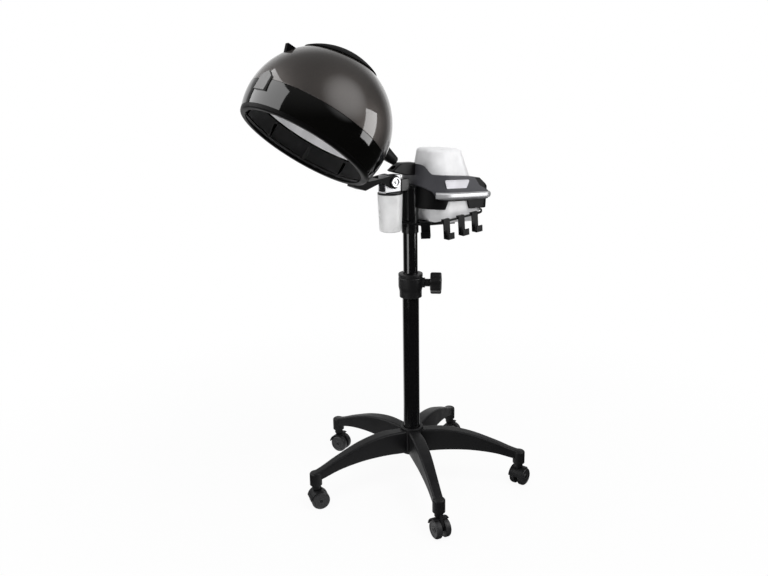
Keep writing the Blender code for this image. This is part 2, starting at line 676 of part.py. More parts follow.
knob_start = COLLAR_BOSS_REACH + RUN_GAP
grip_middle = knob_start + KNOB_NECK + KNOB_WIDTH / 2
clamp_knob = new_piece("clamp_knob", lobed_grip(), MOULDED_BLACK, knob_frame, (grip_middle, 0.0, 0.0))
clamp_neck = rod_tool("clamp_neck", KNOB_NECK_RADIUS, knob_start, grip_middle, 'X', 16, parent=knob_frame)
clamp_screw = rod_tool("clamp_screw", KNOB_SCREW_RADIUS, UPPER_TUBE_RADIUS + SEAT_GAP, grip_middle, 'X', 12,
                       parent=knob_frame)
combine(clamp_knob, 'UNION', clamp_neck, clamp_screw)


# Upper tube and the guide at its foot
upper_inner = UPPER_TUBE_RADIUS - UPPER_TUBE_WALL
turned("mast_guide", [
    (upper_inner - SEAT_GAP, SEAT_GAP + GUIDE_SPIGOT), (upper_inner - SEAT_GAP, -SEAT_GAP),
    (tube_inner - RUN_GAP, -SEAT_GAP), (tube_inner - RUN_GAP, -SEAT_GAP - GUIDE_FLANGE),
    (GUIDE_BORE, -SEAT_GAP - GUIDE_FLANGE), (GUIDE_BORE, SEAT_GAP + GUIDE_SPIGOT),
], ROUND_STEPS, MOULDED_BLACK, parent=mast, place=(0.0, 0.0, MAST_FOOT_Z))
turned("upper_tube", [
    (UPPER_TUBE_RADIUS, UPPER_TUBE_LENGTH), (UPPER_TUBE_RADIUS, 0.0), (upper_inner, 0.0),
    (upper_inner, UPPER_TUBE_LENGTH)], ROUND_STEPS, TUBE_BLACK, parent=mast, place=(0.0, 0.0, MAST_FOOT_Z))


# Mast head: sleeve, hinge block in front and a tongue under the unit
mast_head = turned("mast_head", [
    (0.0, SLEEVE_HEIGHT), (SLEEVE_RADIUS, SLEEVE_HEIGHT), (SLEEVE_RADIUS, 0.0),
    (UPPER_TUBE_RADIUS + SEAT_GAP, 0.0), (UPPER_TUBE_RADIUS + SEAT_GAP, SLEEVE_HEIGHT - SLEEVE_ROOF),
    (0.0, SLEEVE_HEIGHT - SLEEVE_ROOF)], ROUND_STEPS, MOULDED_BLACK, closed=False, parent=head)
wall_middle = (SLEEVE_RADIUS + UPPER_TUBE_RADIUS + SEAT_GAP) / 2
wrap = math.acos(HEAD_BLOCK_HALF_WIDTH / wall_middle)
hinge_block = prism("hinge_block", [(-HEAD_BLOCK_HALF_WIDTH, -HEAD_BLOCK_FRONT),
                                    (HEAD_BLOCK_HALF_WIDTH, -HEAD_BLOCK_FRONT)]
                    + arc((0.0, 0.0), wall_middle, -wrap, wrap - math.pi, 6),
                    BRACKET_FOOT, HEAD_BLOCK_TOP, parent=head)
tongue = prism("unit_tongue", [(TONGUE_HALF_WIDTH, 0.0), (TONGUE_HALF_WIDTH, TONGUE_REACH),
                               (-TONGUE_HALF_WIDTH, TONGUE_REACH), (-TONGUE_HALF_WIDTH, 0.0)]
               + arc((0.0, 0.0), wall_middle, math.pi, 0.0, 10),
               TUB_FOOT - SEAT_GAP - TONGUE_THICKNESS, TUB_FOOT - SEAT_GAP, parent=unit)
combine(mast_head, 'UNION', hinge_block, tongue)

# Hinge bracket: folded plate open to the front and top
bracket_rear = -HEAD_BLOCK_FRONT - SEAT_GAP
bracket_front = -PIVOT_FORWARD - BRACKET_REACH
hinge_bracket = box("hinge_bracket", (-BRACKET_HALF_WIDTH, bracket_front, BRACKET_FOOT),
                    (BRACKET_HALF_WIDTH, bracket_rear, BRACKET_TOP), ZINC, parent=head)
bracket_inside = box("bracket_inside", (BRACKET_SHEET - BRACKET_HALF_WIDTH, bracket_front * 2, BRACKET_FOOT + BRACKET_SHEET),
                     (BRACKET_HALF_WIDTH - BRACKET_SHEET, bracket_rear - BRACKET_SHEET, BRACKET_TOP * 2), parent=head)
bolt_hole = rod_tool("bolt_hole", BOLT_RADIUS + SEAT_GAP, -0.1, 0.1, 'X', 16, parent=pivot)
combine(hinge_bracket, 'DIFFERENCE', bracket_inside, bolt_hole)

ear_outer = BRACKET_HALF_WIDTH + RUN_GAP + EAR_THICKNESS
bolt_seat = ear_outer + RUN_GAP
turned("pivot_bolt", [
    (0.0, BOLT_HEAD_THICKNESS * 0.75), (BOLT_HEAD_RADIUS * 0.28, BOLT_HEAD_THICKNESS * 0.55),
    (BOLT_HEAD_RADIUS * 0.36, BOLT_HEAD_THICKNESS * 0.3), (BOLT_HEAD_RADIUS * 0.58, BOLT_HEAD_THICKNESS * 0.3),
    (BOLT_HEAD_RADIUS * 0.68, BOLT_HEAD_THICKNESS), (BOLT_HEAD_RADIUS * 0.90, BOLT_HEAD_THICKNESS),
    (BOLT_HEAD_RADIUS, BOLT_HEAD_THICKNESS * 0.5), (BOLT_HEAD_RADIUS, 0.0), (BOLT_RADIUS, 0.0),
    (BOLT_RADIUS, -2 * bolt_seat - NUT_THICKNESS - 0.001), (0.0, -2 * bolt_seat - NUT_THICKNESS - 0.001),
], 16, CHROME, closed=False, parent=pivot, place=(bolt_seat, 0.0, 0.0), turn=(0.0, math.pi / 2, 0.0))
pivot_nut = prism("pivot_nut", arc((0.0, 0.0), NUT_RADIUS, 0.0, math.radians(300), 5), -bolt_seat - NUT_THICKNESS,
                  -bolt_seat, STEEL, 'YZ', parent=pivot)
combine(pivot_nut, 'DIFFERENCE', bolt_hole)


# Hood: dome, band, rim and liner, turned about the crown axis
def ball(radius, start, end, steps=ARC_STEPS):
    """Points down a ball's side, angles counted from the crown."""
    return [(radius * math.sin(turn), radius * math.cos(turn))
            for turn in (start + (end - start) * step / steps for step in range(steps + 1))]


def edge_angle(radius, height):
    return math.acos(height / radius)


def band_radius(height, grow=0.0):
    """Outer radius of the band, drawing in from the middle to the foot."""
    share = height / BAND_DEPTH
    return DOME_RADIUS - (DOME_RADIUS - BAND_FOOT_RADIUS) * share * share + grow


def crown_first(points):
    """Puts a shell outline's ends exactly on the crown axis."""
    return [(0.0, points[0][1])] + points[1:]


dome_outer = crown_first(ball(DOME_RADIUS, 0.0, edge_angle(DOME_RADIUS, DOME_EDGE)))
dome_inner = crown_first(ball(DOME_RADIUS - DOME_WALL, 0.0, edge_angle(DOME_RADIUS - DOME_WALL, DOME_EDGE)))
hood_dome = turned("hood_dome", dome_outer + dome_inner[::-1], HOOD_STEPS, DOME_BROWN, closed=False,
                   parent=pivot, place=HOOD_MIDDLE)

band_heights = [0.0, -0.35 * BAND_DEPTH, -0.7 * BAND_DEPTH, -BAND_DEPTH]
facet_top, facet_foot = dome_inner[-2:]
lip_radius = facet_foot[0] - SEAT_GAP
lip_draw = (facet_foot[0] - facet_top[0]) / (facet_top[1] - facet_foot[1]) * BAND_LIP   # follows the dome's last facet
band_side = [(band_radius(0.0), DOME_EDGE - SEAT_GAP)] + [(band_radius(z), z) for z in band_heights[1:]]
band_back = [(band_radius(z, -BAND_WALL), z) for z in band_heights[:0:-1]]
band_lip = [(lip_radius - BAND_LIP_WALL, 0.0), (lip_radius - lip_draw - BAND_LIP_WALL, DOME_EDGE + BAND_LIP),
            (lip_radius - lip_draw, DOME_EDGE + BAND_LIP), (lip_radius, DOME_EDGE - SEAT_GAP)]
turned("hood_band", band_side + band_back + band_lip, HOOD_STEPS, GLOSS_BLACK, parent=pivot, place=HOOD_MIDDLE)

rim_top = -BAND_DEPTH - SEAT_GAP
rim_inner = BAND_FOOT_RADIUS - RIM_REACH
rim_outline = [
    (BAND_FOOT_RADIUS, rim_top), (BAND_FOOT_RADIUS - 0.0012, rim_top - RIM_HEIGHT * 0.6),
    (BAND_FOOT_RADIUS - 0.0055, rim_top - RIM_HEIGHT), (rim_inner, rim_top - RIM_HEIGHT),
    (rim_inner, rim_top - RIM_HEIGHT + RIM_SHEET), (BAND_FOOT_RADIUS - 0.0075, rim_top - RIM_HEIGHT + RIM_SHEET),
    (BAND_FOOT_RADIUS - 0.0065, rim_top)]
turned("hood_rim", rim_outline, HOOD_STEPS, MOULDED_BLACK, parent=pivot, place=HOOD_MIDDLE)

liner_foot = LINER_RADIUS - LINER_WALL
liner_top = LINER_EDGE + LINER_WALL
liner_flange = lip_radius - BAND_LIP_WALL - lip_draw * liner_top / (DOME_EDGE + BAND_LIP) - SEAT_GAP
liner_outer = crown_first(ball(LINER_RADIUS, 0.0, edge_angle(LINER_RADIUS, liner_top), 4))
liner_inner = crown_first(ball(liner_foot, 0.0, edge_angle(liner_foot, LINER_EDGE), 4))
liner_edge = [(liner_flange, liner_top), (liner_flange, LINER_EDGE)]
hood_liner = turned("hood_liner", liner_outer + liner_edge + liner_inner[::-1], HOOD_STEPS, LINER_GREY,
                    closed=False, parent=pivot, place=HOOD_MIDDLE)

# The hood's outer surface with a seat gap, for what is fitted onto it
solid_radius = DOME_RADIUS + SEAT_GAP
solid_foot = rim_top - RIM_HEIGHT - SEAT_GAP
hood_solid = turned("hood_solid", crown_first(ball(solid_radius, 0.0, edge_angle(solid_radius, DOME_EDGE)))
                    + [(solid_radius, DOME_EDGE - SEAT_GAP)]
                    + [(band_radius(z, SEAT_GAP), z) for z in band_heights[1:]]
                    + [(radius + SEAT_GAP, z) for radius, z in rim_outline[:2]]
                    + [(BAND_FOOT_RADIUS - 0.0055, solid_foot), (0.0, solid_foot)],
                    HOOD_STEPS, closed=False, parent=pivot, place=HOOD_MIDDLE)


# Trim on the hood: crown cap, front fin and front tab
cap_outer = [(0.0, DOME_RADIUS + CAP_THICKNESS)]
for share in (1 / 3, 2 / 3, 1.0):
    cap_radius = DOME_RADIUS + CAP_THICKNESS - (CAP_THICKNESS - CAP_EDGE) * share * share
    cap_outer.append((cap_radius * math.sin(share * CAP_ANGLE), cap_radius * math.cos(share * CAP_ANGLE)))
crown_cap = turned("crown_cap", cap_outer + [(0.0, cap_outer[-1][1])], HOOD_STEPS, MOULDED_BLACK, closed=False,
                   parent=pivot, place=HOOD_MIDDLE, turn=(CAP_LEAN, 0.0, 0.0))
combine(crown_cap, 'DIFFERENCE', hood_solid)

fin_frame = new_empty("fin_frame", pivot, HOOD_MIDDLE, (FIN_ANGLE, 0.0, FIN_TURN))
front_fin = prism("front_fin", [
    (-FIN_BASE / 2, DOME_RADIUS - 0.004), (FIN_BASE / 2, DOME_RADIUS - 0.004),
    (FIN_BASE * 0.12, DOME_RADIUS + FIN_HEIGHT), (-FIN_BASE * 0.05, DOME_RADIUS + FIN_HEIGHT)],
    -FIN_THICKNESS / 2, FIN_THICKNESS / 2, MOULDED_BLACK, 'YZ', 0.0015, parent=fin_frame)
combine(front_fin, 'DIFFERENCE', hood_solid)

tab_face = DOME_RADIUS + TAB_PROUD
tab_outline = [(-TAB_HALF_WIDTH, TAB_FOOT), (TAB_HALF_WIDTH, TAB_FOOT), (TAB_HALF_WIDTH, TAB_SHOULDER),
               (0.0, TAB_PEAK), (-TAB_HALF_WIDTH, TAB_SHOULDER)]
front_tab = prism("front_tab", [(z, x) for x, z in reversed(tab_outline)], -tab_face, -DOME_RADIUS * 0.9,
                  DOME_BROWN, 'ZX', 0.001, parent=pivot, place=HOOD_MIDDLE, turn=(0.0, 0.0, TAB_TURN))
combine(front_tab, 'DIFFERENCE', hood_solid)

# Steam inlet: tapered spout on the rear of the dome, with its bore through dome and liner
inlet_root = DOME_RADIUS * 0.85
steam_inlet = turned("steam_inlet", [
    (INLET_TIP_RADIUS, INLET_TIP), (INLET_ROOT_RADIUS, inlet_root), (INLET_BORE, inlet_root),
    (INLET_BORE, INLET_TIP)], 20, MOULDED_BLACK, parent=pivot,
    place=(0.0, -HOOD_REACH, INLET_RISE - HOOD_DROP), turn=(-math.pi / 2, 0.0, 0.0))
inlet_space = rod_tool("inlet_space", INLET_BORE, LINER_RADIUS * 0.7, DOME_RADIUS, 'Y', 20, parent=pivot,
                       place=(0.0, -HOOD_REACH, INLET_RISE - HOOD_DROP))
combine(steam_inlet, 'DIFFERENCE', hood_solid)
combine(hood_dome, 'DIFFERENCE', inlet_space)
combine(hood_liner, 'DIFFERENCE', inlet_space)

# Hood arm: forked at the pivot, with a shoe against the band and under the rim
band_rear = -HOOD_REACH + band_radius(-0.5 * BAND_DEPTH)
arm_foot = -HOOD_DROP + rim_top - RIM_HEIGHT - 0.004
hood_arm = prism("hood_arm", [
    (0.004, -0.0165), (-0.004, 0.0165), (-0.014, 0.0105), (-0.034, -0.009), (band_rear + 0.019, -0.040),
    (band_rear - 0.004, -0.046), (band_rear - 0.020, -0.050), (band_rear - 0.020, arm_foot),
    (band_rear + 0.022, arm_foot + 0.010), (-0.036, -0.0245)],
    ARM_STEP - ear_outer, ear_outer - ARM_STEP, MOULDED_BLACK, 'YZ', parent=pivot)
arm_boss = rod_tool("arm_boss", EAR_RADIUS, -ear_outer, ear_outer, 'X', 18, parent=pivot)
arm_slot = box("arm_slot", (-BRACKET_HALF_WIDTH - RUN_GAP, -FORK_SLOT, -0.1),
               (BRACKET_HALF_WIDTH + RUN_GAP, 0.1, 0.1), parent=pivot)
arm_bolt_hole = rod_tool("arm_bolt_hole", BOLT_RADIUS + RUN_GAP, -0.1, 0.1, 'X', 16, parent=pivot)
combine(hood_arm, 'UNION', arm_boss)
combine(hood_arm, 'DIFFERENCE', arm_slot, arm_bolt_hole, hood_solid)


# Steam unit: black chassis that fits over the head's sleeve
chassis_grow = -BEZEL_WALL - SEAT_GAP
unit_chassis = prism("unit_chassis", unit_plan(chassis_grow), CHASSIS_FOOT, CHASSIS_TOP, MOULDED_BLACK, parent=unit)
sleeve_space = rod_tool("sleeve_space", SLEEVE_RADIUS + SEAT_GAP, 0.0, SLEEVE_HEIGHT + SEAT_GAP, steps=ROUND_STEPS,
                        parent=head)
tub_space = prism("tub_space", tub_plan(SEAT_GAP), 0.0, TUB_TOP + SEAT_GAP, parent=unit)
upper_space = prism("upper_space", tub_plan(-CAVITY_INSET), TUB_TOP - 0.01, CHASSIS_TOP - DECK, parent=unit)
notch = prism("skirt_notch", [
    (NOTCH_MIDDLE - NOTCH_HALF_FOOT, 0.0), (NOTCH_MIDDLE + NOTCH_HALF_FOOT, 0.0),
    (NOTCH_MIDDLE + NOTCH_HALF_FOOT, CHASSIS_FOOT), (NOTCH_MIDDLE + NOTCH_HALF_TOP, NOTCH_TOP),
    (NOTCH_MIDDLE - NOTCH_HALF_TOP, NOTCH_TOP), (NOTCH_MIDDLE - NOTCH_HALF_FOOT, CHASSIS_FOOT)],
    -UNIT_HALF_WIDTH, UNIT_HALF_WIDTH, plane='YZ', parent=unit)
pipe_frame = new_empty("pipe_frame", unit, (0.0, PIPE_CROSSING, CHASSIS_TOP), (math.pi / 2 - PIPE_SLOPE, 0.0, 0.0))
pipe_space = rod_tool("pipe_space", PIPE_RADIUS + SEAT_GAP, -0.06, 0.05, steps=12, parent=pipe_frame)
rear_slope = prism("rear_slope", [
    (REAR_SLOPE_START, CHASSIS_TOP), (UNIT_REAR, REAR_SLOPE_END), (UNIT_REAR + 0.02, REAR_SLOPE_END),
    (UNIT_REAR + 0.02, CHASSIS_TOP * 2), (REAR_SLOPE_START, CHASSIS_TOP * 2)],
    -UNIT_HALF_WIDTH, UNIT_HALF_WIDTH, plane='YZ', parent=unit)
combine(unit_chassis, 'DIFFERENCE', sleeve_space, tub_space, upper_space, notch, pipe_space, rear_slope)

# White tub that closes the unit from below
def drawn_tub():
    bm = bmesh.new()
    outline = [bm.verts.new((x, y, TUB_TOP)) for x, y in tub_plan()]
    loop = [bm.edges.new((outline[index - 1], outline[index])) for index in range(len(outline))]
    middle = Vector((0.0, (TUB_FRONT + TUB_REAR) / 2, 0.0))
    levels = [(TUB_BULGE, 1.0), (TUB_FOOT + 0.010, (1.0 + TUB_TAPER) / 2 + 0.02), (TUB_FOOT, TUB_TAPER)]
    shrunk = 1.0
    for height, size in levels:
        grown = bmesh.ops.extrude_edge_only(bm, edges=loop)['geom']
        ring = [item for item in grown if isinstance(item, bmesh.types.BMVert)]
        loop = [item for item in grown if isinstance(item, bmesh.types.BMEdge)]
        for vert in ring:
            vert.co = middle + (vert.co - middle) * (size / shrunk)
            vert.co.z = height
        shrunk = size
    bmesh.ops.contextual_create(bm, geom=loop)
    bmesh.ops.recalc_face_normals(bm, faces=bm.faces)
    return bm


unit_base = new_piece("unit_base", drawn_tub(), UNIT_WHITE, unit)
thickness = unit_base.modifiers.new("wall", 'SOLIDIFY')
thickness.thickness = TUB_WALL
thickness.offset = -1.0

# Dark grey bezel: the unit's plan cut to the side view's outline, hollow for the chassis, open for the tank
bezel_side = [
    (UNIT_FRONT - 0.02, BEZEL_NOSE_FOOT), (0.018, 0.112), (0.030, BEZEL_FOOT), (UNIT_REAR + 0.02, BEZEL_FOOT),
    (UNIT_REAR + 0.02, 0.103), (UNIT_REAR - 0.014, 0.1135), (0.160, 0.1285), (0.138, BEZEL_SIDE_TOP - 0.003),
    (0.012, BEZEL_SIDE_TOP + 0.0015), (-0.001, BEZEL_TOP), (UNIT_FRONT - 0.02, BEZEL_TOP)]
unit_bezel = prism("unit_bezel", unit_plan(), BEZEL_FOOT, BEZEL_TOP, BEZEL_GREY, parent=unit)
side_view = prism("bezel_side", filleted(bezel_side, BEZEL_FILLET), -2 * UNIT_HALF_WIDTH, 2 * UNIT_HALF_WIDTH,
                  plane='YZ', parent=unit)
chassis_space = prism("chassis_space", unit_plan(-BEZEL_WALL), 0.0, CHASSIS_TOP + SEAT_GAP, parent=unit)
tank_space = prism("tank_space", tank_plan(TANK_PLAY), CHASSIS_TOP - 0.02, BEZEL_TOP + 0.02, parent=unit)
window_outline = [
    (WINDOW_MIDDLE - WINDOW_HALF_FOOT, WINDOW_FOOT), (WINDOW_MIDDLE + WINDOW_HALF_FOOT, WINDOW_FOOT),
    (WINDOW_MIDDLE + WINDOW_HALF_TOP, WINDOW_TOP), (WINDOW_MIDDLE - WINDOW_HALF_TOP, WINDOW_TOP)]
window_back = UNIT_HALF_WIDTH - WINDOW_DEPTH
window_space = prism("window_space", filleted(window_outline, 0.004 + SEAT_GAP), window_back - SEAT_GAP,
                     2 * UNIT_HALF_WIDTH, plane='YZ', parent=unit)
combine(unit_bezel, 'INTERSECT', side_view)
combine(unit_bezel, 'DIFFERENCE', chassis_space, tank_space, window_space, pipe_space)


def shrunk_outline(outline, inset):
    """Outline drawn in towards its middle by about an inset on every side."""
    middle = sum((Vector(point) for point in outline), Vector((0.0, 0.0))) / len(outline)
    drawn = []
    for point in outline:
        arm = Vector(point) - middle
        drawn.append((point[0] - math.copysign(inset, arm.x), point[1] - math.copysign(inset, arm.y)))
    return drawn


prism("display_window", shrunk_outline(filleted(window_outline, 0.004), SEAT_GAP), window_back,
      UNIT_HALF_WIDTH + SEAT_GAP, WINDOW_PALE, 'YZ', parent=unit)


# Bright trim bars along the bezel's sides
def side_path(grow):
    """Plan points along the right side, from the nose's curve to the tail's."""
    nose = arc((UNIT_HALF_WIDTH - UNIT_NOSE_RADIUS, UNIT_FRONT + UNIT_NOSE_RADIUS), UNIT_NOSE_RADIUS + grow,
               -BAR_NOSE_WRAP, 0.0, 4)
    tail = arc((UNIT_HALF_WIDTH - UNIT_TAIL_RADIUS, UNIT_REAR - UNIT_TAIL_RADIUS), UNIT_TAIL_RADIUS + grow,
               0.0, BAR_TAIL_WRAP, 4)
    return nose + tail


bar_outline = side_path(BAR_PROUD) + side_path(SEAT_GAP)[::-1]
prism("trim_bar_left", bar_outline, BAR_FOOT, BAR_TOP, CHROME, edge=0.0028, parent=unit)
prism("trim_bar_right", [(-x, y) for x, y in reversed(bar_outline)], BAR_FOOT, BAR_TOP, CHROME, edge=0.0028,
      parent=unit)


# White water tank, lifting off the chassis deck, with its valve cap underneath
tank_foot = CHASSIS_TOP + SEAT_GAP
tank_frame = new_empty("tank_frame", unit, (0.0, (TANK_FRONT + TANK_REAR) / 2, tank_foot))


def tapered_tank(inset, height):
    bm = bmesh.new()
    middle_y = (TANK_FRONT + TANK_REAR) / 2
    face = bm.faces.new([bm.verts.new((x, y - middle_y, inset)) for x, y in tank_plan(-inset)])
    raised = bmesh.ops.extrude_face_region(bm, geom=[face])['geom']
    roof = [item for item in raised if isinstance(item, bmesh.types.BMVert)]
    for vert in roof:
        vert.co.x *= TANK_TOP_SHRINK
        vert.co.y = vert.co.y * TANK_TOP_SHRINK + TANK_TOP_SHIFT
        vert.co.z = height
    bmesh.ops.recalc_face_normals(bm, faces=bm.faces)
    rim = [edge for edge in bm.edges if all(vert.co.z == height for vert in edge.verts)]
    bmesh.ops.bevel(bm, geom=rim, offset=TANK_EDGE - inset, segments=3, profile=0.5, affect='EDGES', material=-1)
    return bm


water_tank = new_piece("water_tank", tapered_tank(0.0, TANK_HEIGHT), TANK_WHITE, tank_frame)
tank_inside = new_piece("tank_inside", tapered_tank(TANK_WALL, TANK_HEIGHT - TANK_WALL), None, tank_frame)
tank_mouth = rod_tool("tank_mouth", TANK_NECK_RADIUS, -0.01, TANK_MOUTH, steps=16, parent=tank_frame)
combine(water_tank, 'DIFFERENCE', tank_inside, tank_mouth)
turned("tank_cap", [
    (0.0, TANK_MOUTH), (TANK_NECK_RADIUS * 0.4, TANK_MOUTH), (TANK_NECK_RADIUS * 0.5, TANK_WALL + 0.001),
    (TANK_NECK_RADIUS - SEAT_GAP, TANK_WALL + 0.001), (TANK_NECK_RADIUS - SEAT_GAP, SEAT_GAP), (0.0, SEAT_GAP)],
    16, MOULDED_BLACK, closed=False, parent=tank_frame)


# Steam nozzle on the bezel's nose, its mouth facing the hood's inlet
nozzle_side = [
    (-0.0758, 0.1636), (-0.0712, 0.1605), (-0.0361, 0.1525), (UNIT_NOSE_RADIUS * 0.3, 0.1525),
    (UNIT_NOSE_RADIUS * 0.3, 0.1850), (-0.0489, 0.1834), (-0.0570, 0.1785)]
steam_nozzle = prism("steam_nozzle", nozzle_side, -NOZZLE_HALF_WIDTH, NOZZLE_HALF_WIDTH, MOULDED_BLACK, 'YZ',
                     0.0025, parent=unit)
nose_space = prism("nose_space", unit_plan(SEAT_GAP), 0.0, BEZEL_TOP * 2, parent=unit)
mouth_slope = math.atan2(nozzle_side[6][1] - nozzle_side[0][1], nozzle_side[6][0] - nozzle_side[0][0])
mouth_middle = [(nozzle_side[6][axis] + nozzle_side[0][axis]) / 2 for axis in (0, 1)]
mouth_frame = new_empty("mouth_frame", unit, (0.0, *mouth_middle), (mouth_slope, 0.0, 0.0))
mouth_space = rod_tool("mouth_space", NOZZLE_MOUTH_RADIUS, -NOZZLE_MOUTH_DEPTH, 0.02, steps=20, parent=mouth_frame)
combine(steam_nozzle, 'DIFFERENCE', nose_space, mouth_space)


# Inside the unit: heater under the boiler, steam pipe to the nozzle, control board on posts
heater_top = BOILER_FOOT - SEAT_GAP
turned("heater", [
    (BOILER_RADIUS * 0.9, heater_top), (BOILER_RADIUS * 0.9, heater_top - HEATER_THICKNESS),
    (BOILER_RADIUS * 0.4, heater_top - HEATER_THICKNESS), (BOILER_RADIUS * 0.4, heater_top)], 16, CAST_ALUMINIUM,
    parent=unit, place=(0.0, BOILER_Y, 0.0))
turned("boiler", [
    (0.0, BOILER_TOP), (BOILER_RADIUS - 0.004, BOILER_TOP), (BOILER_RADIUS, BOILER_TOP - 0.004),
    (BOILER_RADIUS, BOILER_FOOT), (0.0, BOILER_FOOT)], 16, CAST_ALUMINIUM, closed=False,
    parent=unit, place=(0.0, BOILER_Y, 0.0))
pipe_rise = math.sin(PIPE_SLOPE)
pipe_foot = (BOILER_TOP + SEAT_GAP + PIPE_RADIUS * math.cos(PIPE_SLOPE) - CHASSIS_TOP) / pipe_rise
turned("steam_pipe", [
    (PIPE_RADIUS, 0.015), (PIPE_RADIUS, pipe_foot), (PIPE_BORE, pipe_foot), (PIPE_BORE, 0.015)], 12, STEEL,
    parent=pipe_frame)
board_y = TUB_REAR - CAVITY_INSET - BOARD_STANDOFF
board_low = (-BOARD_SIZE[0] / 2, board_y - BOARD_SIZE[1], CHASSIS_TOP - DECK - BOARD_SIZE[2] - 0.004)
board_high = (BOARD_SIZE[0] / 2, board_y, CHASSIS_TOP - DECK - 0.004)
control_board = box("control_board", board_low, board_high, BOARD_GREEN, parent=unit)
board_posts = [rod_tool("board_post_%d" % (index + 1), BOARD_POST_RADIUS, board_y - BOARD_SIZE[1] / 2,
                        board_y + BOARD_STANDOFF - SEAT_GAP, 'Y', 12, parent=unit,
                        place=(x, 0.0, (board_low[2] + board_high[2]) / 2))
               for index, x in enumerate((-BOARD_SIZE[0] * 0.35, BOARD_SIZE[0] * 0.35))]
combine(control_board, 'UNION', *board_posts)


# Rear of the skirt: rocker switch in its opening and the cable gland
skirt_rear = UNIT_REAR + chassis_grow
switch_middle = skirt_rear - SWITCH_SIZE[1] * 0.25
switch_frame = new_empty("switch_axis", unit, (SWITCH_X, switch_middle, SWITCH_RISE))
half_switch = [size / 2 for size in SWITCH_SIZE]
rocker_bulge = half_switch[1] * 6        # radius of the rocker's outer face
rocker_turn = math.asin(half_switch[2] / rocker_bulge)
power_switch = prism("power_switch", arc((half_switch[1] - rocker_bulge, 0.0), rocker_bulge, -rocker_turn, rocker_turn, 4)
                     + [(-half_switch[1] * 0.4, half_switch[2] * 0.9), (-half_switch[1] * 0.4, -half_switch[2] * 0.9)],
                     -half_switch[0], half_switch[0], MOULDED_BLACK, 'YZ', parent=switch_frame)
switch_space = box("switch_space", (-half_switch[0] - RUN_GAP, -0.02, -half_switch[2] - SWITCH_PLAY),
                   (half_switch[0] + RUN_GAP, 0.02, half_switch[2] + SWITCH_PLAY), parent=switch_frame)
gland_space = rod_tool("gland_space", GLAND_RADIUS * 0.7 + SEAT_GAP, TUB_REAR - 0.02, UNIT_REAR + 0.02, 'Y', 12,
                       parent=unit, place=(GLAND_X, 0.0, GLAND_RISE))
cable_gland = turned("cable_gland", [
    (GLAND_RADIUS * 0.7, GLAND_LENGTH), (GLAND_RADIUS, GLAND_LENGTH * 0.5), (GLAND_RADIUS, SEAT_GAP),
    (GLAND_RADIUS * 0.7, SEAT_GAP), (GLAND_RADIUS * 0.7, -BEZEL_WALL), (GLAND_BORE, -BEZEL_WALL),
    (GLAND_BORE, GLAND_LENGTH)], 12, MOULDED_BLACK, parent=unit, place=(GLAND_X, skirt_rear, GLAND_RISE),
    turn=(-math.pi / 2, 0.0, 0.0))
combine(unit_chassis, 'DIFFERENCE', switch_space, gland_space)
combine(unit_base, 'DIFFERENCE', switch_space, gland_space)


# Drain cup and the lid it hangs from, under the hinge bracket
lid_top = BRACKET_FOOT - SEAT_GAP
cup_rim = lid_top - LID_THICKNESS - SEAT_GAP
cup_foot = cup_rim - CUP_HEIGHT
cup_frame = new_empty("cup_axis", head, (0.0, -CUP_FORWARD, 0.0))
turned("cup_lid", [
    (0.0, lid_top), (CUP_RADIUS, lid_top), (CUP_RADIUS, lid_top - LID_THICKNESS),
    (CUP_RADIUS - CUP_WALL - SEAT_GAP * 2, lid_top - LID_THICKNESS),
    (CUP_RADIUS - CUP_WALL - SEAT_GAP * 2, lid_top - LID_THICKNESS - LID_SPIGOT),
    (0.0, lid_top - LID_THICKNESS - LID_SPIGOT)], 20, MOULDED_BLACK, closed=False, parent=cup_frame)
cup_side = [(CUP_RADIUS, cup_rim), (CUP_RADIUS, cup_rim - LID_SPIGOT * 1.5), (CUP_FOOT_RADIUS, cup_foot + CUP_EDGE)]
turned("drain_cup", [(0.0, cup_foot + CUP_WALL), (CUP_FOOT_RADIUS - CUP_EDGE, cup_foot + CUP_WALL)]
       + [(radius - CUP_WALL, height) for radius, height in reversed(cup_side)] + cup_side
       + [(CUP_FOOT_RADIUS - CUP_EDGE, cup_foot), (0.0, cup_foot)], 20, UNIT_WHITE, closed=False, parent=cup_frame)


# Accessory rack: strip bent round the sleeve and under the unit, with clip-on hooks
def rack_strip():
    bm = bmesh.new()
    front = -SLEEVE_RADIUS - SEAT_GAP - RACK_SHEET
    outline = plan(RACK_HALF_WIDTH, front, RACK_REAR, RACK_NOSE_RADIUS, RACK_TAIL_RADIUS)
    points = [bm.verts.new((x, y, 0.0)) for x, y in outline]
    loop = [bm.edges.new((points[index - 1], points[index])) for index in range(len(points))]
    raised = bmesh.ops.extrude_edge_only(bm, edges=loop)['geom']
    tops = [item for item in raised if isinstance(item, bmesh.types.BMVert)]
    bmesh.ops.translate(bm, vec=(0.0, 0.0, RACK_HEIGHT), verts=tops)
    bmesh.ops.recalc_face_normals(bm, faces=bm.faces)
    return bm


rack_frame = new_empty("rack_frame", head, (0.0, 0.0, RACK_RISE), (RACK_PITCH, 0.0, 0.0))
rack_ring = new_piece("rack_ring", rack_strip(), MOULDED_BLACK, rack_frame)
strip = rack_ring.modifiers.new("sheet", 'SOLIDIFY')
strip.thickness = RACK_SHEET
strip.offset = -1.0

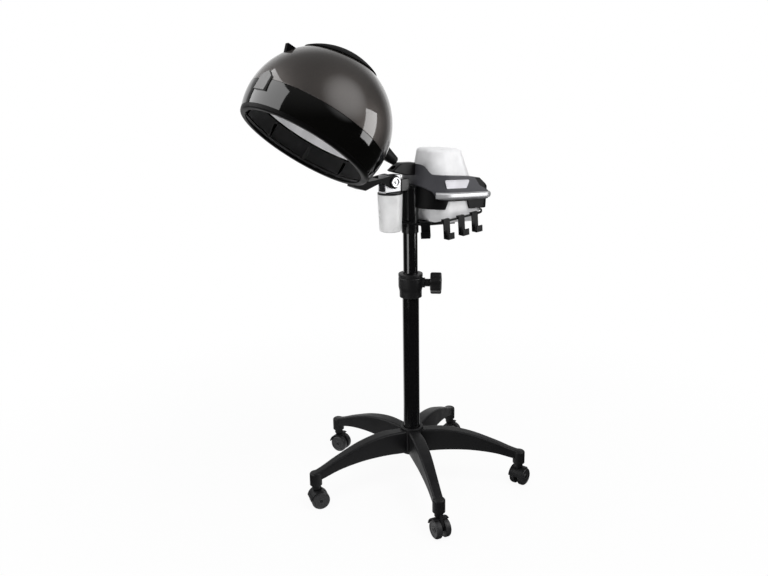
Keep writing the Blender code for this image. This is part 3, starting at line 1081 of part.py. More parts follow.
hook_outer = RACK_HALF_WIDTH + SEAT_GAP
hook_inner = RACK_HALF_WIDTH - RACK_SHEET - SEAT_GAP
hook_roof = RACK_HEIGHT + SEAT_GAP
hook_side = [
    (hook_inner - HOOK_SHEET, hook_roof + HOOK_SHEET), (hook_inner - HOOK_SHEET, 0.0),
    (hook_inner, 0.0), (hook_inner, hook_roof), (hook_outer, hook_roof),
    (hook_outer, -HOOK_DROP), (hook_outer + HOOK_GAP + 2 * HOOK_SHEET, -HOOK_DROP),
    (hook_outer + HOOK_GAP + 2 * HOOK_SHEET, -HOOK_DROP + HOOK_SHEET + HOOK_TIP),
    (hook_outer + HOOK_GAP + HOOK_SHEET, -HOOK_DROP + HOOK_SHEET + HOOK_TIP),
    (hook_outer + HOOK_GAP + HOOK_SHEET, -HOOK_DROP + HOOK_SHEET),
    (hook_outer + HOOK_SHEET, -HOOK_DROP + HOOK_SHEET), (hook_outer + HOOK_SHEET, hook_roof + HOOK_SHEET)]
for index, place in enumerate(HOOK_PLACES):
    for side, way in (("left", 1), ("right", -1)):
        outline = [(z, way * x) for x, z in hook_side]
        prism("hook_%s_%d" % (side, index + 1), outline, place - HOOK_WIDTH / 2, place + HOOK_WIDTH / 2,
              MOULDED_BLACK, 'ZX', parent=rack_frame)


# Round forms shade smooth between their sharp edges
bpy.context.view_layer.update()
evaluation = bpy.context.evaluated_depsgraph_get()
settled_meshes = {}
for piece in PARTS.objects:
    if piece.type == 'MESH':
        settled_meshes[piece] = bpy.data.meshes.new_from_object(piece.evaluated_get(evaluation))
for piece, mesh in settled_meshes.items():
    piece.modifiers.clear()
    mesh.name = piece.name
    piece.data = mesh
    mesh.shade_smooth()
    mesh.set_sharp_from_angle(angle=FACET_ANGLE)
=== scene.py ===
"""Salon hair steamer on a caster stand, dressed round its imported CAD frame.

Metres, +Z up, hood towards -Y.
"""

import json
import math

import bmesh
import bpy
from mathutils import Matrix, Vector


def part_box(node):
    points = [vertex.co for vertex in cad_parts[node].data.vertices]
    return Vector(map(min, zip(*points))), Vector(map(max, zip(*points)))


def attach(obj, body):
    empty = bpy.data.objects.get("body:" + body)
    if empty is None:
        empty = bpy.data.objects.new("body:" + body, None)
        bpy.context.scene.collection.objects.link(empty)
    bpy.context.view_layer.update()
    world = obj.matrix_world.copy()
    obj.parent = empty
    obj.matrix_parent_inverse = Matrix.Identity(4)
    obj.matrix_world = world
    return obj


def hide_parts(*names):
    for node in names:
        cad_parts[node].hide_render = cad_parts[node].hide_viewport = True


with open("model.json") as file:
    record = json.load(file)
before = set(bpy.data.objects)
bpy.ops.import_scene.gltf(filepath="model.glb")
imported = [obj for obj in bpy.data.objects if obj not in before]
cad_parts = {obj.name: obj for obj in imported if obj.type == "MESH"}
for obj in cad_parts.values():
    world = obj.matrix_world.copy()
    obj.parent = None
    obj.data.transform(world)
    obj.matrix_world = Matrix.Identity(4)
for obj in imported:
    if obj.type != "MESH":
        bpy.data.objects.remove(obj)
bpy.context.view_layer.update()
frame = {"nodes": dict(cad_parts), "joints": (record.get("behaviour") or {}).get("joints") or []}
joints = {joint["name"]: joint for joint in frame["joints"]}


# Star base: one moulding in glass-filled nylon with a fine spark-eroded grain. The mast tube is bolted
# into its hub, and five arched hollow legs are stiffened by ribs underneath.
# Each tip has a boss for a caster stem.
tube_low, tube_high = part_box("lower_tube")
mast = Vector(((tube_low.x + tube_high.x) / 2, (tube_low.y + tube_high.y) / 2, 0.0))
stem_foot = Vector(joints["caster_swivel_1"]["pos_m"])
seat_gap = 0.0003
run_gap = 0.0005
boss_foot = stem_foot.z + run_gap
leg_reach = (stem_foot - mast).xy.length
leg_count = 5
leg_root = 0.0245
leg_overrun = 0.004
leg_wall = 0.004
leg_tops = [0.0940, 0.0970, 0.0860, 0.0625, 0.0360]
leg_undersides = [0.0300, 0.0380, 0.0390, 0.0305, 0.0130]
leg_half_widths = [0.0170, 0.0180, 0.0165, 0.0140, 0.0125]
leg_pockets = [(0.17, 0.36), (0.39, 0.58), (0.61, 0.80)]
boss_height = 0.0360
boss_radius = 0.0165
stem_socket = 0.0060
hub_radius = 0.0320
lower_radius = (tube_high.x - tube_low.x) / 2
hub_bore = lower_radius + seat_gap
tube_seat = 0.0133
hub_floor = 0.013
hub_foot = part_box("lower_tube")[0].z - tube_seat
hub_top = hub_foot + 0.0765


def eased(stations, share):
    """Smooth value at a share of the way along evenly spaced stations."""
    place = min(max(share, 0.0), 1.0) * (len(stations) - 1)
    index = min(int(place), len(stations) - 2)
    along = place - index
    start, end = stations[index], stations[index + 1]
    slope_in = (end - stations[max(index - 1, 0)]) / 2
    slope_out = (stations[min(index + 2, len(stations) - 1)] - start) / 2
    curve = 3 * (end - start) - 2 * slope_in - slope_out
    twist = slope_in + slope_out - 2 * (end - start)
    return start + along * (slope_in + along * (curve + along * twist))


def leg_form(start, end, cuts, inset):
    """Stretch of a leg along +X: a box cut across, then drawn to the leg's height and width at each cut."""
    bm = bmesh.new()
    bmesh.ops.create_cube(bm, size=2.0)
    along = [edge for edge in bm.edges if abs(edge.verts[0].co.x - edge.verts[1].co.x) > 1]
    bmesh.ops.subdivide_edges(bm, edges=along, cuts=cuts, use_grid_fill=True)
    for vert in bm.verts:
        share = start + (end - start) * (vert.co.x + 1) / 2
        half_width = eased(leg_half_widths, share) - inset
        height = eased(leg_tops if vert.co.z > 0 else leg_undersides, share) - inset
        vert.co = (leg_root + share * (leg_reach + leg_overrun - leg_root), vert.co.y * half_width, height)
    return bm


def spun(outline, steps=64, closed=False):
    """Outline of (radius, height) points turned about Z; a closed one makes a ring."""
    bm = bmesh.new()
    points = [bm.verts.new((radius, 0.0, height)) for radius, height in outline]
    edges = [bm.edges.new(pair) for pair in zip(points, points[1:])]
    if closed:
        edges.append(bm.edges.new((points[-1], points[0])))
    bmesh.ops.spin(bm, geom=points + edges, cent=(0, 0, 0), axis=(0, 0, 1), angle=math.tau, steps=steps,
                   use_merge=True)
    bmesh.ops.remove_doubles(bm, verts=bm.verts, dist=0.000002)
    bmesh.ops.recalc_face_normals(bm, faces=bm.faces)
    return bm


def rod(radius, low, high, steps):
    """Closed cylinder about Z."""
    return spun([(0.0, low), (radius, low), (radius, high), (0.0, high)], steps)


def bevelled(bm, edges, width, segments):
    """Rounds the given edges."""
    bmesh.ops.bevel(bm, geom=edges, offset=width, segments=segments, profile=0.5, affect='EDGES', material=-1)


def rounded(bm, width, segments=3, least=30.0):
    """Rounds every edge that is sharper than an angle."""
    limit = math.radians(least)
    sharp = [edge for edge in bm.edges if edge.is_manifold and edge.calc_face_angle(0.0) > limit]
    bmesh.ops.bevel(bm, geom=sharp, offset=width, segments=segments, profile=0.5, affect='EDGES', material=-1,
                    clamp_overlap=True)
    return bm


def placed(bm, *moves):
    """Moves a form by matrices, the last one first."""
    for move in reversed(moves):
        bm.transform(move)
    return bm


def fused(bm, operation, *tools):
    """Joins closed forms to a form, or cuts them out of it, and gives the result as one form."""
    holders = []
    for form in (bm, *tools):
        mesh = bpy.data.meshes.new("form")
        form.to_mesh(mesh)
        form.free()
        holder = bpy.data.objects.new("form", mesh)
        bpy.context.scene.collection.objects.link(holder)
        holders.append(holder)
    for tool in holders[1:]:
        step = holders[0].modifiers.new("step", 'BOOLEAN')
        step.operation = operation
        step.object = tool
    bpy.context.view_layer.update()
    result = bmesh.new()
    result.from_object(holders[0], bpy.context.evaluated_depsgraph_get())
    for holder in holders:
        mesh = holder.data
        bpy.data.objects.remove(holder)
        bpy.data.meshes.remove(mesh)
    return result


def finished(name, bm, material, body, slot, *stands_for):
    """Piece at the origin with its place in its mesh, riding on a body and standing for CAD nodes."""
    bmesh.ops.remove_doubles(bm, verts=bm.verts, dist=0.000001)
    bmesh.ops.recalc_face_normals(bm, faces=bm.faces)
    mesh = bpy.data.meshes.new(name)
    bm.to_mesh(mesh)
    bm.free()
    mesh.shade_smooth()
    mesh.set_sharp_from_angle(angle=math.radians(38.0))
    mesh.materials.append(material)
    piece = bpy.data.objects.new(name, mesh)
    bpy.context.scene.collection.objects.link(piece)
    even = piece.modifiers.new("even_shading", 'WEIGHTED_NORMAL')
    even.keep_sharp = True
    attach(piece, body)
    if stands_for:
        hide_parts(*stands_for)
    return piece


def tuned(node, **values):
    """Sets a node's inputs; an underscore stands for the space in an input's name."""
    for socket, value in values.items():
        node.inputs[socket.replace("_", " ")].default_value = value


def added(tree, kind, **values):
    """New shader node with its inputs set."""
    node = tree.nodes.new("ShaderNode" + kind)
    tuned(node, **values)
    return node


def blank(name):
    """New material with its node tree and its surface shader."""
    material = bpy.data.materials.new(name)
    material.use_nodes = True
    return material, material.node_tree, material.node_tree.nodes["Principled BSDF"]


def tinted(tree, shader, pattern, colour, stops, shades):
    """Colour that wanders with a pattern between two shades of it."""
    ramp = added(tree, "ValToRGB")
    for stop, place, shade in zip(ramp.color_ramp.elements, stops, shades):
        stop.position = place
        stop.color = (*[min(shade * part, 0.95) for part in colour], 1.0)
    tree.links.new(pattern, ramp.inputs["Fac"])
    tree.links.new(ramp.outputs["Color"], shader.inputs["Base Color"])


def glossed(tree, shader, pattern, roughness, shares, start=0.0, end=1.0):
    """Roughness that wanders with a pattern between two shares of it."""
    gloss = added(tree, "MapRange", From_Min=start, From_Max=end, To_Min=shares[0] * roughness,
                  To_Max=shares[1] * roughness)
    tree.links.new(pattern, gloss.inputs["Value"])
    tree.links.new(gloss.outputs["Result"], shader.inputs["Roughness"])


def embossed(tree, shader, pattern, strength, distance):
    """Fine relief that follows a pattern."""
    relief = added(tree, "Bump", Strength=strength, Distance=distance)
    tree.links.new(pattern, relief.inputs["Height"])
    tree.links.new(relief.outputs["Normal"], shader.inputs["Normal"])


def moulded(name, colour, roughness, grain, depth, specular=0.35):
    """Moulded plastic: faint mottling, uneven gloss and the fine grain of its mould."""
    material, tree, shader = blank(name)
    tuned(shader, Specular_IOR_Level=specular)
    place = added(tree, "TexCoord").outputs["Object"]
    mottle = added(tree, "TexNoise", Scale=22.0, Detail=5.0)
    pits = added(tree, "TexNoise", Scale=1.0 / grain, Detail=2.0)
    for pattern in (mottle, pits):
        tree.links.new(place, pattern.inputs["Vector"])
    tinted(tree, shader, mottle.outputs["Fac"], colour, (0.30, 0.72), (0.88, 1.10))
    glossed(tree, shader, mottle.outputs["Fac"], roughness, (0.86, 1.16), 0.30, 0.70)
    embossed(tree, shader, pits.outputs["Fac"], depth, 0.4 * grain)
    return material


base_nylon = moulded("base_nylon", (0.0066, 0.0066, 0.0072), 0.48, 0.0011, 0.22, specular=0.17)
at_mast = Matrix.Translation(mast)
star = spun([(0.0, hub_foot), (hub_radius, hub_foot), (hub_radius, hub_top), (hub_bore, hub_top),
             (hub_bore, hub_foot + hub_floor), (0.0, hub_foot + hub_floor)])
rounded(star, 0.0025, 3)
legs = []
hollows = []
for index in range(leg_count):
    caster = Vector(joints["caster_swivel_%d" % (index + 1)]["pos_m"]) - mast
    heading = Matrix.Rotation(math.atan2(caster.y, caster.x), 4, 'Z')
    leg = leg_form(0.0, 1.0, 23, 0.0)
    crest = [edge for edge in leg.edges
             if (all(vert.co.y > 0 for vert in edge.verts) or all(vert.co.y < 0 for vert in edge.verts))
             and len({face.normal.z > 0.5 for face in edge.link_faces}) == 2
             and abs(edge.verts[0].co.x - edge.verts[1].co.x) > 0.001]
    bevelled(leg, crest, 0.0060, 4)
    at_root = heading @ Matrix.Translation((0, 0, boss_foot))
    at_tip = heading @ Matrix.Translation((leg_reach, 0, boss_foot))
    legs.append(placed(leg, at_root))
    boss = rod(boss_radius, 0.0, boss_height, 40)
    boss_crown = [edge for edge in boss.edges
                  if edge.calc_face_angle(0.0) > 1.0 and edge.verts[0].co.z > 0.03]
    bevelled(boss, boss_crown, 0.0060, 5)
    legs.append(placed(boss, at_tip))
    for start, end in leg_pockets:
        hollows.append(placed(leg_form(start, end, 5, leg_wall), at_root))
    hollows.append(placed(rod(stem_socket, -0.01, 0.0285, 24), at_tip))
star = fused(star, 'UNION', *legs)
star = fused(star, 'DIFFERENCE', *hollows)
finished("base_star", placed(star, at_mast), base_nylon, "base", "base_black_nylon", "star_base")


# Hub bolt: zinc-plated steel screw that pulls the mast tube into the hub from below.
# It stays as the solid that the frame brings, with a plated finish in place of its flat colour.
def plated(name, colour, roughness, scratch):
    """Bare or plated metal: uneven gloss and fine scratches drawn out along Z."""
    material, tree, shader = blank(name)
    tuned(shader, Metallic=1.0)
    stretch = added(tree, "Mapping", Scale=(900.0, 900.0, 60.0))
    tree.links.new(added(tree, "TexCoord").outputs["Object"], stretch.inputs["Vector"])
    marks = added(tree, "TexNoise", Scale=1.0, Detail=3.0)
    tree.links.new(stretch.outputs["Vector"], marks.inputs["Vector"])
    tinted(tree, shader, marks.outputs["Fac"], colour, (0.35, 0.65), (0.90, 1.0))
    glossed(tree, shader, marks.outputs["Fac"], roughness, (0.80, 1.25))
    embossed(tree, shader, marks.outputs["Fac"], scratch, 0.0001)
    return material


def dressed(node, material):
    """CAD solid kept as it is, with a finish of its own."""
    solid = frame["nodes"][node].data
    solid.materials.clear()
    solid.materials.append(material)


steel = plated("steel", (0.42, 0.42, 0.43), 0.34, 0.10)
dressed("hub_bolt", steel)


# Casters: a moulded nylon fork with a hooded fender, in one with its stem and axle, and two wheels
# on the axle. The wheels are turned discs with a rounded tread, a dished side and a hub cap.
wheel_nylon = moulded("wheel_nylon", (0.0170, 0.0170, 0.0180), 0.46, 0.0009, 0.18, specular=0.34)
wheel_place = joints["wheel_left_spin_1"]["pos_m"]
wheel_radius = wheel_place[2]
axle_drop = stem_foot.z - wheel_radius
wheel_width = 0.016
web = 0.009
trail = (Vector(wheel_place) - stem_foot).xy.length


def slab(outline, low, high, plane='XY'):
    """Flat outline raised from low to high: XY along Z, YZ along X, XZ along Y."""
    bm = bmesh.new()
    face = bm.faces.new([bm.verts.new((u, v, low)) for u, v in outline])
    raised = bmesh.ops.extrude_face_region(bm, geom=[face])["geom"]
    tops = [item for item in raised if isinstance(item, bmesh.types.BMVert)]
    bmesh.ops.translate(bm, vec=(0.0, 0.0, high - low), verts=tops)
    turns = {'XY': Matrix.Identity(4), 'YZ': Matrix(((0, 0, 1, 0), (1, 0, 0, 0), (0, 1, 0, 0), (0, 0, 0, 1))),
             'XZ': Matrix(((1, 0, 0, 0), (0, 0, 1, 0), (0, 1, 0, 0), (0, 0, 0, 1)))}
    bm.transform(turns[plane])
    bmesh.ops.recalc_face_normals(bm, faces=bm.faces)
    return bm


def swept(corners, centre, axis, angle, steps):
    """Flat section turned part of the way round an axis, closed at both ends."""
    bm = bmesh.new()
    face = bm.faces.new([bm.verts.new(corner) for corner in corners])
    bmesh.ops.spin(bm, geom=[face] + face.edges[:] + face.verts[:], cent=centre, axis=axis, angle=angle,
                   steps=steps)
    bmesh.ops.remove_doubles(bm, verts=bm.verts, dist=0.000002)
    bmesh.ops.recalc_face_normals(bm, faces=bm.faces)
    return bm


def caster_fork():
    """Fork with its stem's axis on Z and its crown at height zero, trailing along +X."""
    fork = slab([(trail - 0.008, -axle_drop - 0.009), (trail + 0.008, -axle_drop - 0.009),
                 (trail + 0.016, 0.010 - axle_drop), (0.0105, -0.001), (-0.0105, -0.001),
                 (-0.0105, -0.010)], -web / 2, web / 2, 'XZ')
    rounded(fork, 0.0014, 2)
    stem = spun([(0.0, -0.012), (0.0115, -0.012), (0.0115, 0.0), (0.0055, 0.0), (0.0055, 0.028),
                 (0.0, 0.028)], 32)
    rounded(stem, 0.0008, 2)
    half_width = web / 2 + run_gap + wheel_width
    near = wheel_radius + 0.001
    far = near + 0.003
    start = Matrix.Rotation(-math.radians(75), 3, 'Y')
    corners = [start @ Vector((radius, side, 0.0)) + Vector((trail, 0, -axle_drop))
               for radius, side in ((near, -half_width), (far, -half_width),
                                    (far, half_width), (near, half_width))]
    fender = swept(corners, (trail, 0, -axle_drop), (0, -1, 0), math.radians(95), 18)
    rounded(fender, 0.0011, 2, 50.0)
    axle = placed(rod(0.003, -half_width, half_width, 20),
                  Matrix.Translation((trail, 0, -axle_drop)) @ Matrix.Rotation(math.pi / 2, 4, 'X'))
    return fused(fork, 'UNION', stem, fender, axle)


def caster_wheel():
    """Wheel on Z with its inner face at height zero and its dished face up."""
    rim = wheel_radius
    wheel = spun([(0.0035, 0.0), (rim - 0.002, 0.0), (rim, 0.002), (rim, wheel_width - 0.0055),
                  (rim - 0.0012, wheel_width - 0.0025), (rim - 0.0040, wheel_width - 0.0004),
                  (rim - 0.0062, wheel_width - 0.0002), (rim - 0.0075, wheel_width - 0.0018),
                  (0.0095, wheel_width - 0.0018), (0.0085, wheel_width), (0.0048, wheel_width),
                  (0.0035, wheel_width - 0.0010)], 56, closed=True)
    return rounded(wheel, 0.0006, 2)


for index in range(1, leg_count + 1):
    stem_place = Vector(joints["caster_swivel_%d" % index]["pos_m"])
    axle_place = Vector(joints["wheel_left_spin_%d" % index]["pos_m"])
    way = axle_place - stem_place
    at_stem = Matrix.Translation(stem_place) @ Matrix.Rotation(math.atan2(way.y, way.x), 4, 'Z')
    finished("fork_%d" % index, placed(caster_fork(), at_stem), base_nylon, "caster_%d" % index,
             "base_black_nylon", "caster_fork_%d" % index)
    for side, turn in (("left", -1), ("right", 1)):
        at_axle = Matrix.Translation((trail, -turn * (web / 2 + run_gap), -axle_drop))
        outward = Matrix.Rotation(turn * math.pi / 2, 4, 'X')
        wheel = placed(caster_wheel(), at_stem @ at_axle @ outward)
        finished("wheel_%s_%d" % (side, index), wheel, wheel_nylon, "wheel_%s_%d" % (side, index),
                 "base_black_nylon", "caster_wheel_%s_%d" % (side, index))


# Mast tubes: drawn steel tube in black enamel, baked to a high gloss with a trace of orange peel.
# The lower one is fixed in the hub and open at its top, the thinner one slides and turns in it.
def enamelled(name, colour, roughness, peel):
    """Glossy enamel: slow ripples from the spray gun and faint rub marks."""
    material = moulded(name, colour, roughness, peel, 0.05, specular=0.5)
    tuned(material.node_tree.nodes["Principled BSDF"], Coat_Weight=0.5, Coat_Roughness=0.06)
    return material


tube_enamel = enamelled("tube_enamel", (0.0030, 0.0030, 0.0032), 0.11, 0.004)
upper_low, upper_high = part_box("upper_tube")
upper_radius = (upper_high.x - upper_low.x) / 2


def tube(radius, wall, low, high):
    """Open tube about Z with its edges broken."""
    inside = radius - wall
    pipe = spun([(inside, low), (radius, low), (radius, high), (inside, high)], closed=True)
    return rounded(pipe, 0.0004, 2)


lower_tube = placed(tube(lower_radius, 0.0012, tube_low.z, tube_high.z), at_mast)
finished("mast_tube_lower", lower_tube, tube_enamel, "base", "tube_black_enamel", "lower_tube")
upper_tube = placed(tube(upper_radius, 0.0015, upper_low.z, upper_high.z), at_mast)
finished("mast_tube_upper", upper_tube, tube_enamel, "mast", "tube_black_enamel", "upper_tube")


# Height collar: glass-filled nylon clamp sleeve pressed over the lower tube, with a boss for the clamp screw.
# The bush in it and the guide at the foot of the sliding tube are turned acetal and stay as CAD solids.
collar_black = moulded("collar_black", (0.0070, 0.0070, 0.0075), 0.42, 0.0008, 0.16, specular=0.20)
acetal = moulded("acetal", (0.0120, 0.0120, 0.0125), 0.32, 0.0012, 0.06)
dressed("collar_bush", acetal)
dressed("mast_guide", acetal)
collar_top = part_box("height_collar")[1].z
collar_bore = upper_radius + 0.0010
collar_side = [(hub_bore, 0.0650), (0.0300, 0.0650), (0.0300, 0.0488), (0.0312, 0.0430), (0.0328, 0.0358),
               (0.0328, 0.0120), (0.0318, 0.0110), (0.0318, 0.0095), (0.0328, 0.0085), (0.0328, 0.0010),
               (0.0318, 0.0), (collar_bore, 0.0), (collar_bore, 0.0075), (hub_bore, 0.0075)]
collar = spun([(radius, collar_top - drop) for radius, drop in collar_side], closed=True)
rounded(collar, 0.0008, 2, 25.0)
knob_axis = Vector(joints["knob_turn"]["axis"])
knob_turn = knob_axis.to_track_quat('Z', 'Y').to_matrix().to_4x4()
at_knob = Matrix.Translation(joints["knob_turn"]["pos_m"]) @ knob_turn
boss_reach = 0.0390
clamp_boss = spun([(0.0056, 0.0260), (0.0135, 0.0260), (0.0135, boss_reach), (0.0056, boss_reach)], 40,
                  closed=True)
rounded(clamp_boss, 0.0010, 2)
collar = fused(placed(collar, at_mast), 'UNION', placed(clamp_boss, at_knob))
finished("clamp_collar", collar, collar_black, "base", "moulded_black", "height_collar")


# Clamp knob: phenolic hand knob with seven lobes and a dished cap, moulded round the clamp screw.
# The screw presses on the sliding tube through the collar's boss.
knob_black = moulded("knob_black", (0.0070, 0.0070, 0.0072), 0.38, 0.0010, 0.10, specular=0.22)
knob_lobes = 7
knob_radius = 0.030
knob_width = 0.029
lobe_depth = 0.0035
knob_start = boss_reach + run_gap
grip_start = knob_start + 0.014
grip = bmesh.new()
bmesh.ops.create_circle(grip, cap_ends=True, radius=knob_radius, segments=knob_lobes * 14)
for vert in grip.verts:
    wave = math.cos(knob_lobes * math.atan2(vert.co.y, vert.co.x))
    vert.co.xy *= 1 - lobe_depth / knob_radius * (1 - wave) / 2
raised = bmesh.ops.extrude_face_region(grip, geom=grip.faces[:])["geom"]
grip_top = [item for item in raised if isinstance(item, bmesh.types.BMVert)]
bmesh.ops.translate(grip, vec=(0, 0, knob_width), verts=grip_top)
bmesh.ops.recalc_face_normals(grip, faces=grip.faces)
rounded(grip, 0.0042, 4, 60.0)
cap = max(grip.faces, key=lambda face: face.calc_center_median().z * 10 + face.calc_area())
bmesh.ops.inset_region(grip, faces=[cap], thickness=0.0030)
bmesh.ops.inset_region(grip, faces=[cap], thickness=0.0015, depth=-0.0018)
bmesh.ops.translate(grip, vec=(0, 0, grip_start), verts=grip.verts)
screw_tip = upper_radius + seat_gap
neck = spun([(0.0, screw_tip), (0.0050, screw_tip), (0.0050, knob_start),
             (0.0105, knob_start), (0.0105, grip_start + 0.004), (0.0, grip_start + 0.004)], 40)
rounded(neck, 0.0008, 2)
knob = fused(grip, 'UNION', neck)
finished("hand_knob", placed(knob, at_knob), knob_black, "knob", "moulded_black", "clamp_knob")


# Mast head: moulded sleeve that caps the sliding tube, with the hinge block in front of it and a flat tongue
# behind that the steam unit is screwed down on.
head_black = moulded("head_black", (0.0040, 0.0040, 0.0042), 0.22, 0.0010, 0.08, specular=0.24)
head_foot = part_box("mast_head")[0].z
at_head = Matrix.Translation((mast.x, mast.y, head_foot))
at_unit = at_head @ Matrix.Rotation(math.radians(-4), 4, 'X')
sleeve_radius = 0.0225
sleeve_bore = upper_radius + seat_gap
sleeve = spun([(sleeve_bore, 0.0), (sleeve_radius, 0.0), (sleeve_radius, 0.121), (0.0, 0.121), (0.0, 0.118),
               (sleeve_bore, 0.118)])
bmesh.ops.contextual_create(sleeve, geom=[edge for edge in sleeve.edges if edge.is_boundary])
rounded(sleeve, 0.0010, 2)


def arc(middle, radius, start, end, steps):
    """Points on an arc, angles in degrees, both ends included."""
    turns = [math.radians(start + (end - start) * step / steps) for step in range(steps + 1)]
    return [(middle[0] + radius * math.cos(turn), middle[1] + radius * math.sin(turn)) for turn in turns]


bracket_foot = 0.1138
block = slab([(-0.0155, -0.0400), (0.0155, -0.0400), (0.0155, -0.0130), (-0.0155, -0.0130)],
             bracket_foot, 0.146)
rounded(block, 0.0020, 3)
tongue = slab([(0.0300, 0.0120), (0.0300, 0.130), (-0.0300, 0.130), (-0.0300, 0.0120)], 0.0197, 0.0297)
rounded(tongue, 0.0015, 2)
head = fused(placed(sleeve, at_head), 'UNION', placed(block, at_head), placed(tongue, at_unit))
finished("head_sleeve", head, head_black, "mast", "moulded_black", "mast_head")


# Hinge bracket: zinc-plated steel sheet folded into an open channel and screwed to the front of the
# hinge block. Its two cheeks carry the pivot bolt.
zinc = plated("zinc", (0.50, 0.50, 0.51), 0.44, 0.12)
bracket_low, bracket_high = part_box("hinge_bracket")
bracket_sheet = 0.003


def boxed(size, middle=(0.0, 0.0, 0.0)):
    """Box of a size about its middle."""
    bm = bmesh.new()
    bmesh.ops.create_cube(bm, size=1.0)
    bmesh.ops.scale(bm, vec=size, verts=bm.verts)
    bmesh.ops.translate(bm, vec=middle, verts=bm.verts)
    return bm


bracket = boxed(bracket_high - bracket_low, (bracket_high + bracket_low) / 2)
open_faces = [face for face in bracket.faces if face.normal.y < -0.9 or face.normal.z > 0.9]
bmesh.ops.delete(bracket, geom=open_faces, context='FACES')
folds = [edge for edge in bracket.edges if len(edge.link_faces) == 2]
bevelled(bracket, folds, 0.0030, 3)
bmesh.ops.recalc_face_normals(bracket, faces=bracket.faces)
bmesh.ops.solidify(bracket, geom=bracket.faces[:], thickness=bracket_sheet)
finished("hinge_channel", rounded(bracket, 0.0005, 2, 50.0), zinc, "mast", "zinc_plate", "hinge_bracket")


# Pivot bolt and nut: chrome-plated cup-headed bolt through both ears of the hood's arm and the bracket,
# with a plain steel nut on the far side that sets the hinge's friction.
chrome = plated("chrome", (0.56, 0.56, 0.57), 0.27, 0.02)
pivot = Vector(joints["hood_tilt"]["pos_m"])
bolt_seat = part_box("hood_arm")[1].x - pivot.x + run_gap
head_radius = 0.0138
head_rise = 0.0055
shank_radius = 0.0045
shank_end = -0.0575
bolt = spun([(0.0, 0.72 * head_rise), (0.0030, 0.62 * head_rise), (0.0042, 0.46 * head_rise),
             (0.0050, 0.28 * head_rise), (0.0080, 0.28 * head_rise), (0.0092, 0.92 * head_rise),
             (0.0104, head_rise), (0.0122, 0.96 * head_rise), (0.0134, 0.70 * head_rise),
             (head_radius, 0.40 * head_rise), (head_radius, 0.0), (shank_radius, 0.0),
             (shank_radius, shank_end), (0.0, shank_end)], 64)
at_pivot = Matrix.Translation(pivot)
along_x = Matrix.Rotation(math.pi / 2, 4, 'Y')
bolt = placed(bolt, at_pivot @ Matrix.Translation((bolt_seat, 0, 0)) @ along_x)
finished("bolt_cup_head", bolt, chrome, "hood", "chrome", "pivot_bolt")
nut_radius = 0.0095
nut_height = 0.0065
nut = bmesh.new()
bmesh.ops.create_cone(nut, cap_ends=True, segments=6, radius1=nut_radius, radius2=nut_radius,
                      depth=nut_height)
rounded(nut, 0.0007, 2)
nut = fused(nut, 'DIFFERENCE', rod(shank_radius + seat_gap, -0.01, 0.01, 32))
nut = placed(nut, at_pivot @ Matrix.Translation((-bolt_seat - nut_height / 2, 0, 0)) @ along_x)
finished("bolt_nut", nut, steel, "hood", "steel", "pivot_nut")


# Drain cup and lid: the lid is a black turned disc screwed under the bracket, with a spigot that the
# cup grips. The cup is blown in milky polypropylene, thin enough to pass light, and pulls off downwards.
def milky(name, colour, roughness):
    """Milky plastic: a little light passes under the skin, and the wall is unevenly thick."""
    material = moulded(name, colour, roughness, 0.004, 0.04, specular=0.4)
    tuned(material.node_tree.nodes["Principled BSDF"], Subsurface_Weight=0.35,
          Subsurface_Radius=(0.006, 0.006, 0.006), Subsurface_Scale=1.0)
    return material


lid_black = moulded("lid_black", (0.0050, 0.0050, 0.0052), 0.40, 0.0010, 0.10, specular=0.18)
cup_white = milky("cup_white", (0.74, 0.74, 0.74), 0.30)
lid_low, lid_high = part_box("cup_lid")
cup_low, cup_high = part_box("drain_cup")
cup_axis = Vector(((lid_low.x + lid_high.x) / 2, (lid_low.y + lid_high.y) / 2, 0.0))
cup_radius = (lid_high.x - lid_low.x) / 2
at_cup = Matrix.Translation(cup_axis)
lid_seat = cup_high.z + seat_gap
spigot_radius = cup_radius - 0.0021
lid = spun([(0.0, lid_low.z), (spigot_radius, lid_low.z), (spigot_radius, lid_seat), (cup_radius, lid_seat),
            (cup_radius, lid_high.z), (0.0, lid_high.z)], 72)
finished("cup_cover", placed(rounded(lid, 0.0007, 2), at_cup), lid_black, "mast", "moulded_black", "cup_lid")
cup_wall = 0.0015
cup_side = [(0.0255, cup_low.z + 0.0006), (0.0278, cup_low.z + 0.0022), (0.0288, cup_low.z + 0.0050),
            (0.0305, cup_low.z + 0.045), (cup_radius, cup_high.z - 0.0120), (cup_radius, cup_high.z)]
cup_foot = [(0.0, cup_low.z + 0.0025), (0.0190, cup_low.z + 0.0025), (0.0210, cup_low.z), (0.0235, cup_low.z)]
cup = spun(cup_foot + cup_side
           + [(radius - cup_wall, max(height, cup_low.z + 0.0022)) for radius, height in reversed(cup_side)]
           + [(0.0190, cup_low.z + 0.0042), (0.0, cup_low.z + 0.0042)], 72)
finished("cup_body", placed(cup, at_cup), cup_white, "cup", "unit_white", "drain_cup")


# Unit chassis: black moulded tray that fits over the mast head and carries everything in the steam unit.
# Its skirt shows below the grey cover, and the white tub shows in a notch on each side of it.
def plan(half_width, front, rear, nose, tail, grow=0.0):
    """Rounded outline seen from above, drawn in or out by grow."""
    steps = 14
    tail_side, nose_side = half_width - tail, half_width - nose
    return (arc((tail_side, rear - tail), tail + grow, 0, 90, steps)
            + arc((-tail_side, rear - tail), tail + grow, 90, 180, steps)
            + arc((-nose_side, front + nose), nose + grow, 180, 270, steps)
            + arc((nose_side, front + nose), nose + grow, 270, 360, steps))


unit_half = 0.085
unit_rear = 0.210
nose_radius = 0.070
tail_radius = 0.030


